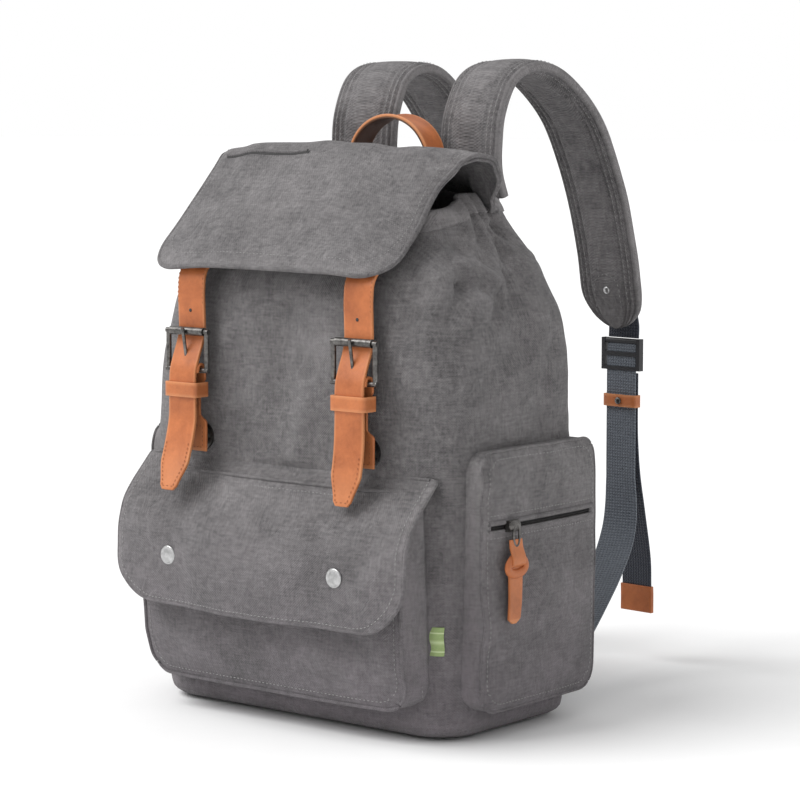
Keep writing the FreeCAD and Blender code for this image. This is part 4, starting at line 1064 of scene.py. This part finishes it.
def makeTopFlap():
    bm = grid(120, 120, topFlapPoint)
    paintWearAndSheen(bm, lambda spot: 0.3 * max(0.0, ripple(spot, 24, 5.0))
            + 0.5 * math.exp(-abs(spot.z - 0.341) / 0.003))
    cover = keep(bm, "topFlapCloth", canvas, wall=mm(topFlap["wall"]), inner=liningCloth,
                 facing=(0, 0, 1))
    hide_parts("top_flap", "flap_lining", "flap_yoke")
    shares = rimShares(110, "lbr")
    rim = tube("topFlapEdge", [topFlapPoint(u, v, 0.0, -0.9) for u, v in shares], mm(1.75), canvas)
    seam = [topFlapPoint(u, v, 1.2, -4.0) for u, v in shares]
    under = tube("topFlapUnderEdge", seam, mm(1.35), canvas)
    rows = [([topFlapPoint(u, v, 6.5, 0.15) for u, v in shares], lambda spot: Vector((0, -0.55, 0.8)))]
    sewn = stitches("topFlapStitches", rows, paleThread, length=2.0, width=0.6)
    welt = [topFlapPoint(0.05 + 0.33 * step / 30, 0.431, 0, 0.5) for step in range(31)]
    lip = tube("flapZipWelt", welt, mm(1.3), canvas)
    bm = grid(40, 3, lambda u, v: topFlapPoint(0.05 + 0.34 * u, 0.421 + 0.009 * v, 0, 0.35))
    tape = keep(bm, "flapZipTape", zipTape, wall=mm(0.7), facing=(0, 0, 1))
    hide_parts("flap_zip")
    for made in (cover, rim, under, sewn, lip, tape):
        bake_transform(made)


makeTopFlap()
print("top flap sewn")


flapStrap = {
    "spread": 82, "half": 13.2, "wall": 2.4,
    "root": [(-84, 350), (-97, 336), (-99.8, 322), (-99.6, 305), (-99.4, 292), (-101.5, 283), (-106, 272),
             (-109.6, 261.5)],
    "ends": {"right": [(-110.2, 250), (-110, 232), (-111, 212), (-114.5, 192), (-119, 174)],
             "left": [(-110.4, 250), (-110.4, 236), (-111.2, 222), (-117.5, 199), (-127.5, 173)]},
    "chape": [(-105.5, 259.5), (-104, 264.5), (-100.6, 264), (-99.6, 256), (-99.8, 238), (-99.7, 216),
              (-99.9, 200)],
}


def sewLeather(name, rows, body):
    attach(stitches(name, rows, tanThread, length=2.0, width=0.6, gap=1.2), body)


def tailWidth(length):
    full = flapStrap["half"]

    def wide(share):
        left = (1 - share) * length * 1000
        flare = 0.6 * smoothStep(share, 0.5, 0.8)
        if left < 24:
            return mm(full + flare - 5.8 * smoothStep(24 - left, 0, 24) ** 0.9 - max(0.0, 3.5 - left) * 0.7)
        return mm(full + flare)
    return wide


def makeFlapStrap(name, hand):
    size = flapStrap
    centre = mm(hand * size["spread"])
    line = Line([Vector((centre, mm(y), mm(z))) for y, z in size["root"] + size["ends"][name]])
    wide = tailWidth(line.length)
    bm = strip(line, (1, 0, 0), wide, 12, 110, crown=mm(0.5))
    # Real edge wear along both sides, and a painted sheen: the strap is made lighter towards its lower end,
    # from 215 mm down, as if light caught it there
    paintWearAndSheen(bm, lambda spot: 0.7 * smoothStep(abs(spot.x - centre), 0.0118, 0.0140)
            + 0.30 * smoothStep(-spot.z, -0.215, -0.178))
    strap = keep(bm, f"flapStrap_{name}", leather, wall=mm(size["wall"]), edge=mm(0.5),
                 facing=(0, -1, 0), inner=leatherBack, boxed=False)
    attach(strap, "top_flap")
    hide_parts(f"flap_strap_{name}")
    rows = []
    for edge in (-1, 1):
        row = []
        for step in range(40):
            share = 0.80 + 0.185 * step / 39
            row.append(line.point(share) + Vector((edge * (wide(share) - mm(2.6)), -0.0002, 0)))
        rows.append((row, (0, -1, 0)))
    tip = line.point(0.985)
    rows.append(([tip + Vector((mm(x), -0.0002, 0)) for x in (-6.4, 0, 6.4)], (0, -1, 0)))
    for edge in (-1, 1):
        aside = Vector((edge * mm(12.4), -0.0002, 0))
        upper = [line.point(0.07 + 0.17 * step / 20) + aside for step in range(21)]
        rows.append((upper, (0, -1, 0)))
    sewLeather(f"flapStrapStitches_{name}", rows, "top_flap")
    # A dark disc on the strap stands for its punched hole: painted shade, the shadowed inside of the hole
    bm = bmesh.new()
    bmesh.ops.create_cone(bm, cap_ends=True, segments=20, radius1=mm(1.3), radius2=mm(1.3), depth=mm(0.5))
    bmesh.ops.rotate(bm, verts=bm.verts, cent=(0, 0, 0), matrix=Matrix.Rotation(math.radians(90), 3, "X"))
    bmesh.ops.translate(bm, verts=bm.verts, vec=line.point(0.265) + Vector((0, -0.00002, 0)))
    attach(keep(bm, f"strapHoleShadow_{name}_0", zipTape), "top_flap")
    chapeLine = Line([at(hand * size["spread"], y, z) for y, z in size["chape"]])

    def chapeWidth(share):
        return mm(14 - 5.5 * smoothStep(share, 0.24, 0.36) + 6.4 * smoothStep(share, 0.62, 0.70))

    bm = strip(chapeLine, (1, 0, 0), chapeWidth, 10, 70)
    paintWearAndSheen(bm, lambda spot: 0.5 if spot.z < 0.203 else 0.2)
    chape = keep(bm, f"buckleChape_{name}", leather, wall=mm(2.0), edge=mm(0.4),
                 facing=(0, -1, 0), boxed=False)
    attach(chape, "top_flap")
    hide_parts(f"buckle_chape_{name}")
    corners = [(-11.6, 219), (-11.6, 203), (11.6, 203), (11.6, 219), (-11.6, 219)]
    square = [at(hand * size["spread"] + x, -100.1, z) for x, z in corners]
    sewLeather(f"chapeStitches_{name}", [(square, (0, -1, 0))], "top_flap")


# A leather loop: a rounded rectangle seen from above, with a rounded rim
def loopBand(name, centre, halfWide, halfDeep, corner, low, high, wall, turn=0.0):
    bm = bmesh.new()
    outline = []
    for step in range(48):
        u = step / 48 * 4
        runs = [(u, 0.0), (1.0, u - 1), (3 - u, 1.0), (0.0, 4 - u)]
        a, b = runs[int(u)]
        x, y = roundedSpot(a, b, halfWide, halfDeep, corner, corner)
        outline.append(bm.verts.new((mm(x), mm(y), mm(low))))
    rim = [bm.edges.new((first, second)) for first, second in zip(outline, outline[1:] + outline[:1])]
    steps = 4
    for step in range(steps):
        made = bmesh.ops.extrude_edge_only(bm, edges=rim)["geom"]
        fresh = [part for part in made if isinstance(part, bmesh.types.BMVert)]
        rim = [part for part in made if isinstance(part, bmesh.types.BMEdge)]
        bmesh.ops.translate(bm, verts=fresh, vec=(0, 0, mm((high - low) / steps)))
    bmesh.ops.recalc_face_normals(bm, faces=bm.faces)
    bmesh.ops.rotate(bm, verts=bm.verts, cent=(0, 0, 0), matrix=Matrix.Rotation(turn, 3, "Z"))
    bmesh.ops.translate(bm, verts=bm.verts, vec=centre)
    paintWearAndSheen(bm, lambda spot: 0.7 if min(abs(spot.z - mm(low)), abs(spot.z - mm(high))) < 0.0004 else 0.1)
    return keep(bm, name, leather, wall=mm(wall), edge=mm(0.45))


for sideName, hand in (("right", 1), ("left", -1)):
    makeFlapStrap(sideName, hand)
    low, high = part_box(f"strap_keeper_{sideName}")
    middle = (low + high) / 2
    half = (high - low) * 500
    ring = loopBand(f"strapKeeper_{sideName}", Vector((middle.x, middle.y, 0)), half.x - 1.0, half.y, 2.6,
                    low.z * 1000, high.z * 1000, 1.8)
    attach(ring, f"strap_keeper_{sideName}")
    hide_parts(f"strap_keeper_{sideName}")

carryHandle = {"radius": 40, "centre": (45, 414), "half": 11, "outer": 2.2, "inner": 1.4}


def makeHandle():
    size = carryHandle
    outside = size["radius"] - 0.2
    centreY, centreZ = size["centre"]

    def handleHalf(share):
        return mm(size["half"] - 2.0 * smoothStep(abs(share - 0.5), 0.30, 0.5))

    for label, radius, wall, finish in (("outer", outside, size["outer"], leather),
                                        ("inner", outside - size["outer"], size["inner"], leatherBack)):
        points = []
        for step in range(29):
            angle = math.radians(-6 + 192 * step / 28)
            squash = 1.0 - 0.04 * math.sin(angle)
            rise = math.sin(angle) * radius * squash
            points.append(at(math.cos(angle) * radius, centreY, centreZ + rise))
        line = Line(points)
        bm = strip(line, (0, 1, 0), handleHalf, 10, 80, crown=mm(0.8))
        paintWearAndSheen(bm, lambda spot: 0.8 * smoothStep(abs(spot.y - 0.045), 0.0085, 0.0105))
        made = keep(bm, f"handleLeather_{label}", finish, wall=mm(wall), edge=mm(0.4),
                    facing=(0, 0, 1), boxed=False)
        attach(made, "carry_handle")
        if label == "outer":
            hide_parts("carry_handle")
            rows = []
            for edge in (-1, 1):
                aside = Vector((0, edge * mm(7.6), 0))
                row = [line.point(0.05 + 0.9 * step / 60) + aside for step in range(61)]
                row = [spot + (spot - at(0, spot.y * 1000, 414)).normalized() * 0.0002 for spot in row]
                rows.append((row, lambda spot: (spot - at(0, spot.y * 1000, 414)).normalized()))
            sewLeather("handleStitches", rows, "carry_handle")


makeHandle()
print("leather cut")


shoulderStrap = {
    "half": 30, "thick": 5.2, "spread": 54, "root": 78, "splay": 5.0, "swing": 14.6, "lock": 253,
    "route": [(78, 388), (71, 408), (70, 428), (74, 454), (90, 480), (119, 489), (153, 478), (190, 445),
              (217, 392), (232, 343), (238.5, 310), (244, 294), (247.5, 279)],
    "grooves": (0.58, 0.74, 0.89), "round": 36,
    "tail": [(254.4, 242), (254.4, 228), (254.3, 214), (254.4, 200), (255.2, 184), (258.2, 158),
             (265, 126), (272.6, 88), (274, 62)],
    "run": [(253.0, 270), (251.6, 258), (251.4, 238), (251.4, 212), (251.4, 186), (251.5, 158)],
    "lower": [(250.6, 132), (246.5, 114), (233.5, 97), (214, 82), (195, 70), (150, 46), (110, 30),
              (87, 21.5)],
    "loop": [(248.5, 302), (251.6, 291), (254.2, 281), (254.0, 270.5)],
    "tip": [(273.8, 63), (274.1, 57), (274.2, 50), (274.2, 41)],
}


# A point of a shoulder strap's own plane, splayed outwards from its root. All in mm
def hang(hand, x, y, z):
    angle = -hand * math.radians(shoulderStrap["splay"])
    reach = y - shoulderStrap["root"]
    return at(hand * shoulderStrap["spread"] + math.cos(angle) * x - math.sin(angle) * reach,
              shoulderStrap["root"] + math.sin(angle) * x + math.cos(angle) * reach, z)


# A point of the lower webbing's plane, which swings inwards from the lock to the base
def sling(hand, x, y, z):
    angle = hand * math.radians(shoulderStrap["swing"])
    reach = y - shoulderStrap["lock"]
    lock = shoulderStrap["lock"]
    spot = hang(hand, 0, lock, z) * 1000
    return at(spot.x + math.cos(angle) * x - math.sin(angle) * reach,
              lock + math.sin(angle) * x + math.cos(angle) * reach, z)


def makeShoulderStrap(name, hand):
    size = shoulderStrap
    line = Line([hang(hand, 0, y, z) for y, z in size["route"]])
    across = (hang(hand, 1, 100, 0) - hang(hand, 0, 100, 0)).normalized()
    rows, columns = 220, 112
    tall = line.length * 1000

    def shape(share):
        left = (1 - share) * tall
        wide, thick = size["half"], size["thick"]
        if left < size["round"]:
            wide = size["half"] * max(0.0, 1 - ((size["round"] - left) / size["round"]) ** 2) ** 0.5
            thick = size["thick"] * (0.5 + 0.5 * smoothStep(left, 0, 14))
        if share <= 0 or share >= 1:
            wide = thick = 0.0
        return wide, thick

    def place(u, v):
        angle = 2 * math.pi * u
        v = v * 1.25 if v < 0.72 else 0.9 + 0.1 * math.sin((v - 0.72) / 0.28 * math.pi / 2)
        wide, thick = shape(v)
        x = math.copysign(abs(math.cos(angle)) ** 0.5, math.cos(angle))
        y = math.copysign(abs(math.sin(angle)) ** 0.42, math.sin(angle))
        press = sum(math.exp(-((abs(x) - groove) / 0.032) ** 2) for groove in size["grooves"])
        crown = 1 + 0.16 * (1 - min(1.0, abs(x) / 0.6) ** 2)
        spot = line.point(v)
        up = across.cross(line.direction(v)).normalized()
        lift = y * (thick * crown - 1.6 * press * min(1.0, thick / 5))
        lift += ripple(spot + across * mm(x * wide), 30, hand * 3.0) * 0.7 * abs(y)
        return spot + across * mm(x * wide) + up * mm(lift)

    bm = grid(columns, rows, place, size=(0.12, line.length), merge=True)
    bmesh.ops.recalc_face_normals(bm, faces=bm.faces)
    layer = bm.verts.layers.float.new("wearAndSheen")
    for vert in bm.verts:
        side = abs((vert.co - hang(hand, 0, 100, 0)).dot(across)) * 1000
        vert[layer] = 0.75 * smoothStep(side, 26.5, 29.5) + 0.25 * max(0.0, ripple(vert.co, 30, 2.0))
    pad = keep(bm, f"shoulderPad_{name}", canvas, boxed=False)
    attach(pad, f"shoulder_strap_{name}")
    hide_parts(f"shoulder_strap_{name}", f"strap_foam_{name}")

    rowsOfThread = []
    for face in (-1, 1):
        for x in (-0.815 * 30, -0.66 * 30, 0.66 * 30, 0.815 * 30):
            row = []
            for step in range(140):
                share = 0.01 + 0.935 * step / 139
                up = across.cross(line.direction(share)).normalized() * face
                row.append(line.point(share) + across * mm(x) + up * mm(size["thick"] * 0.93 + 0.1))
            rowsOfThread.append((row, lambda spot, face=face: across.cross(nearestWay(line, spot)) * face))
    rivet = 1 - 34 / tall
    spot = line.point(rivet)
    out = across.cross(line.direction(rivet)).normalized()
    if out.y > 0:
        out = -out
    down = line.direction(rivet)
    arch = []
    for step in range(25):
        angle = math.radians(180 * step / 24)
        arch.append(spot + across * mm(13 * math.cos(angle)) - down * mm(13 * math.sin(angle))
                    + out * mm(5.9))
    arch = [arch[0] + down * mm(16)] + arch + [arch[-1] + down * mm(16)]
    rowsOfThread.append((arch, out))
    sewn = stitches(f"shoulderStitches_{name}", rowsOfThread, paleThread,
                    length=2.6, width=0.55, gap=1.9)
    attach(sewn, f"shoulder_strap_{name}")
    bm = bmesh.new()
    bmesh.ops.create_uvsphere(bm, u_segments=20, v_segments=12, radius=mm(3.2))
    bmesh.ops.scale(bm, verts=bm.verts, vec=(1, 1, 0.45))
    turn = out.to_track_quat("Z", "Y").to_matrix()
    bmesh.ops.rotate(bm, verts=bm.verts, cent=(0, 0, 0), matrix=turn)
    bmesh.ops.translate(bm, verts=bm.verts, vec=spot + out * mm(6.0))
    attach(keep(bm, f"strapRivet_{name}", snapMetal), f"shoulder_strap_{name}")


def nearestWay(line, spot):
    best = min(range(0, 101, 2), key=lambda step: (line.point(step / 100) - spot).length)
    return line.direction(best / 100)


# Webbing whose across direction turns from one end to the other
def ribbon(name, spots, acrosses, finish, wall, half, rows):
    line = Line(spots)

    def place(u, v):
        index = min(int(v * (len(acrosses) - 1)), len(acrosses) - 2)
        across = acrosses[index].lerp(acrosses[index + 1], v * (len(acrosses) - 1) - index).normalized()
        return line.point(v) + across * (half * (u * 2 - 1))

    bm = grid(12, rows, place, size=(half * 2, line.length))
    return keep(bm, name, finish, wall=wall, edge=mm(0.3), boxed=False, facing=(0, -1, 0))


def makeWebbing(name, hand):
    size = shoulderStrap
    high = (hang(hand, 1, 100, 0) - hang(hand, 0, 100, 0)).normalized()
    low = (sling(hand, 1, 100, 0) - sling(hand, 0, 100, 0)).normalized()
    spots = [hang(hand, 0, y, z) for y, z in size["run"]] + [sling(hand, 0, y, z) for y, z in size["lower"]]
    acrosses = [high, high, high, low, low, low, low]
    band = ribbon(f"webbingRun_{name}", spots, acrosses, webbing, mm(1.6), mm(15), 160)
    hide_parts(f"strap_webbing_{name}", f"webbing_lower_{name}")
    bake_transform(band)
    spots = [hang(hand, 0, y, z) for y, z in size["tail"]]
    tail = ribbon(f"webbingTail_{name}", spots, [high, high], webbingDark, mm(1.6), mm(15), 90)
    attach(tail, f"shoulder_strap_{name}")
    spots = [hang(hand, 0, y, z) for y, z in size["loop"]]
    loop = ribbon(f"lockLoop_{name}", spots, [high, high], webbingDark, mm(1.8), mm(15.5), 24)
    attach(loop, f"shoulder_strap_{name}")
    spots = [hang(hand, 0, y, z) for y, z in size["tip"]]
    tip = ribbon(f"webbingTipLeather_{name}", spots, [high, high], leather, mm(3.6), mm(16.2), 24)
    tip.data.transform(Matrix.Translation((0, -0.0010, 0)))
    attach(tip, f"shoulder_strap_{name}")
    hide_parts(f"webbing_tip_{name}")
    loopLow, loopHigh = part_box(f"webbing_keeper_{name}")
    middle = hang(hand, 0, size["lock"], 0)
    ring = loopBand(f"webbingKeeperLeather_{name}", Vector((middle.x, middle.y, 0)), 17.2, 4.3, 2.4,
                    loopLow.z * 1000, loopHigh.z * 1000, 1.6, -hand * math.radians(size["splay"]))
    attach(ring, f"webbing_keeper_{name}")
    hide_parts(f"webbing_keeper_{name}")
    bm = bmesh.new()
    bmesh.ops.create_uvsphere(bm, u_segments=20, v_segments=12, radius=mm(2.9))
    bmesh.ops.scale(bm, verts=bm.verts, vec=(1, 0.5, 1))
    spot = hang(hand, 0, size["lock"] - 5.2, (loopLow.z + loopHigh.z) * 500)
    bmesh.ops.translate(bm, verts=bm.verts, vec=spot)
    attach(keep(bm, f"keeperRivet_{name}", gunmetal), f"webbing_keeper_{name}")


for sideName, hand in (("right", 1), ("left", -1)):
    makeShoulderStrap(sideName, hand)
    makeWebbing(sideName, hand)
print("shoulder straps sewn")


backPad = {"half": 115, "low": 40, "high": 300, "corner": 26, "face": 86, "wall": 76}


def makeBackPad():
    size = backPad
    halfTall = (size["high"] - size["low"]) / 2

    def place(u, v):
        x, z = roundedSpot(u, v, size["half"], halfTall, size["corner"], size["corner"])
        side, rise = abs(x) / size["half"], abs(z) / halfTall
        swell = (1 - side ** 6) * (1 - rise ** 8)
        channel = math.exp(-((abs(x) - 38) / 3.0) ** 2)
        if abs(x) < 38:
            channel += math.exp(-((z - 20) / 3.0) ** 2)
        out = size["wall"] + 4 + (size["face"] - size["wall"] - 4) * swell - 4.2 * channel * swell
        return at(x, out, z + size["low"] + halfTall)

    bm = grid(80, 90, place)
    rim = [edge for edge in bm.edges if edge.is_boundary]
    made = bmesh.ops.extrude_edge_only(bm, edges=rim)["geom"]
    for part in made:
        if isinstance(part, bmesh.types.BMVert):
            part.co.y = mm(size["wall"] - 1)
    paintWearAndSheen(bm, lambda spot: 0.3 * max(0.0, ripple(spot, 20, 2.0)))
    pad = keep(bm, "backPadding", canvas, facing=(0, 1, 0))
    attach(pad, "root")
    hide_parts("back_pad")


makeBackPad()

# A woven tab sewn into the seam beside the front pocket
sideTab = {"low": 65, "high": 86, "seam": (129.2, -75.6), "end": (139.5, -71.5)}


def makeSideTab():
    size = sideTab

    def place(u, v):
        x = size["seam"][0] + (size["end"][0] - size["seam"][0]) * u
        y = size["seam"][1] + (size["end"][1] - size["seam"][1]) * u - 1.4 * math.sin(math.pi * u)
        return at(x, y + 0.5 * math.sin(v * 7), size["low"] + (size["high"] - size["low"]) * v)

    bm = grid(14, 20, place)
    tab = keep(bm, "sideTab", tabCloth, wall=mm(0.9), edge=mm(0.2), facing=(0, -1, 0))
    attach(tab, "root")
    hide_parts("care_tab")


makeSideTab()

zipPull = {
    "x": 172.2, "y": -29.0,
    "strip": [(0, 0, 134), (0, 0, 126), (0.4, -0.4, 116), (0.8, -1.2, 102), (0.4, -2.2, 87)],
    "fold": [(0, 148.5), (0.8, 142), (3.0, 136), (3.2, 131), (0.4, 128)],
}


def makeZipPull(name, hand):
    x, y = hand * zipPull["x"], zipPull["y"]
    loop = []
    for step in range(32):
        angle = 2 * math.pi * step / 32
        loop.append(at(x, y + 3.6 * math.sin(angle), 151.5 + 8.0 * math.cos(angle)))
    wire = tube(f"pullLink_{name}", loop, mm(0.95), gunmetal, closed=True)
    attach(wire, f"zip_pull_{name}")
    line = Line([at(x + hand * out, y + along, z) for out, along, z in zipPull["strip"]])

    def wide(share):
        return mm(8.0 - 1.2 * share - 4.6 * smoothStep(share, 0.90, 1.0) ** 2)

    bm = strip(line, (0, 1, 0), wide, 8, 50)
    paintWearAndSheen(bm, lambda spot: 0.55 if spot.z < 0.090 else 0.15)
    pull = keep(bm, f"pullLeather_{name}", leather, wall=mm(2.0), edge=mm(0.5),
                facing=(hand, 0, 0), boxed=False)
    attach(pull, f"zip_pull_{name}")
    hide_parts(f"zip_pull_{name}")
    knot = []
    for step in range(40):
        angle = 2 * math.pi * step / 40
        wide, tall = 10.2 * math.cos(angle), 6.2 * math.sin(angle)
        knot.append(at(x + hand * 0.6, y + wide * (1.0 - 0.03 * tall), 129.5 + tall))
    ring = tube(f"pullKnot_{name}", knot, mm(3.4), leather, closed=True)
    flat = Matrix.Diagonal((0.62, 1, 1, 1))
    ring.data.transform(Matrix.Translation((mm(x), 0, 0)) @ flat @ Matrix.Translation((mm(-x), 0, 0)))
    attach(ring, f"zip_pull_{name}")
    front = Line([at(x + hand * out, y, z) for out, z in zipPull["fold"]])
    bm = strip(front, (0, 1, 0), lambda share: mm(7.2 + 0.6 * share), 8, 30)
    paintWearAndSheen(bm, lambda spot: 0.2)
    fold = keep(bm, f"pullFold_{name}", leather, wall=mm(1.6), edge=mm(0.4),
                facing=(hand, 0, 0), boxed=False)
    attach(fold, f"zip_pull_{name}")
    bm = bmesh.new()
    bmesh.ops.create_uvsphere(bm, u_segments=20, v_segments=12, radius=1.0)
    bmesh.ops.scale(bm, verts=bm.verts, vec=(mm(2.6), mm(7.0), mm(4.6)))
    bmesh.ops.translate(bm, verts=bm.verts, vec=at(hand * 170.4, y, 158.2))
    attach(keep(bm, f"sliderBridge_{name}", gunmetal), f"zip_slider_{name}")


for sideName, hand in (("right", 1), ("left", -1)):
    makeZipPull(sideName, hand)

snapCap = {
    "spread": 82, "height": 123, "face": -127.4,
    "profile": [(7.0, 0.2), (7.3, 0.9), (7.0, 1.6), (6.2, 1.9), (5.5, 1.5), (4.9, 1.6), (3.4, 2.2),
                (1.6, 2.4), (0.0, 2.45)],
}


def makeSnapCap(name, hand):
    bm = bmesh.new()
    profile = [Vector((mm(radius), 0, mm(rise))) for radius, rise in snapCap["profile"]]
    verts = [bm.verts.new(point) for point in profile]
    edges = [bm.edges.new((first, second)) for first, second in zip(verts, verts[1:])]
    bmesh.ops.spin(bm, geom=verts + edges, cent=(0, 0, 0), axis=(0, 0, 1), angle=math.radians(360), steps=40)
    bmesh.ops.remove_doubles(bm, verts=bm.verts, dist=1e-6)
    bmesh.ops.rotate(bm, verts=bm.verts, cent=(0, 0, 0), matrix=Matrix.Rotation(math.radians(90), 3, "X"))
    spot = at(hand * snapCap["spread"], snapCap["face"] + 2.0, snapCap["height"])
    bmesh.ops.translate(bm, verts=bm.verts, vec=spot)
    cap = keep(bm, f"snapCap_{name}", snapMetal, facing=(0, -1, 0))
    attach(cap, "pocket_flap")
    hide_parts("snap_caps")


def makeAnchor(name, hand):
    across = (sling(hand, 1, 100, 0) - sling(hand, 0, 100, 0)).normalized()
    line = Line([sling(hand, 0, y, z) for y, z in ((66, 13.5), (74, 14.6), (82, 17.4), (90, 21.8))])
    bm = strip(line, across, lambda share: mm(19 - 3.4 * share), 14, 24)
    paintWearAndSheen(bm, lambda spot: 0.3)
    tab = keep(bm, f"anchorTab_{name}", canvas, wall=mm(2.4), edge=mm(0.5),
               facing=(0, 0, -1), boxed=False)
    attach(tab, "root")
    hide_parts("strap_anchors")


def makeSleeve():
    low, high = [corner * 1000 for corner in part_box("laptop_sleeve")]

    def place(u, v):
        x, z = roundedSpot(u, v, high.x, (high.z - low.z) / 2, 14, 8)
        swell = (1 - (abs(x) / high.x) ** 6) * (1 - (abs(z) * 2 / (high.z - low.z)) ** 8)
        return at(x, 62 - 5.5 * swell, z + (low.z + high.z) / 2)

    bm = grid(40, 48, place)
    rim = [edge for edge in bm.edges if edge.is_boundary]
    made = bmesh.ops.extrude_edge_only(bm, edges=rim)["geom"]
    for part in made:
        if isinstance(part, bmesh.types.BMVert):
            part.co.y = mm(high.y)
    pad = keep(bm, "sleevePadding", liningCloth, facing=(0, -1, 0))
    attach(pad, "root")
    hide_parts("laptop_sleeve")


for sideName, hand in (("right", 1), ("left", -1)):
    makeSnapCap(sideName, hand)
    makeAnchor(sideName, hand)
makeSleeve()

# Finishes of the frame's own parts; canvas where none is named
nodeFinish = {
    "base_stiffener": boardFill, "laptop_sleeve": liningCloth, "mouth_eyelets": gunmetal,
    "pocket_studs": snapMetal,
    "front_magnets": gunmetal, "snap_sockets": gunmetal, "snap_caps": snapMetal, "strap_anchors": canvas,
    "flap_zip": zipTape, "side_zip_left": zipTape, "side_zip_right": zipTape, "ladder_lock_left": blackPlastic,
    "ladder_lock_right": blackPlastic,
}
for part in ("buckle_frame", "buckle_prong", "buckle_roller", "zip_slider"):
    for sideName in ("left", "right"):
        nodeFinish[f"{part}_{sideName}"] = gunmetal
for label, node in nodes.items():
    finish = nodeFinish.get(label, canvas)
    node.data.materials.clear()
    node.data.materials.append(finish)
print("frame parts finished")


def makeFloor(size):
    bm = bmesh.new()
    bmesh.ops.create_grid(bm, x_segments=1, y_segments=1, size=size / 2)
    pale = plainFinish("paleFloor", paint(0.90, 0.90, 0.90), paint(0.93, 0.93, 0.93), 0.9, 3, 0.0)
    bmesh.ops.translate(bm, verts=bm.verts, vec=(0, 0, -0.0005))
    made = keep(bm, "studioFloor", pale)


makeFloor(studio["floorSize"])
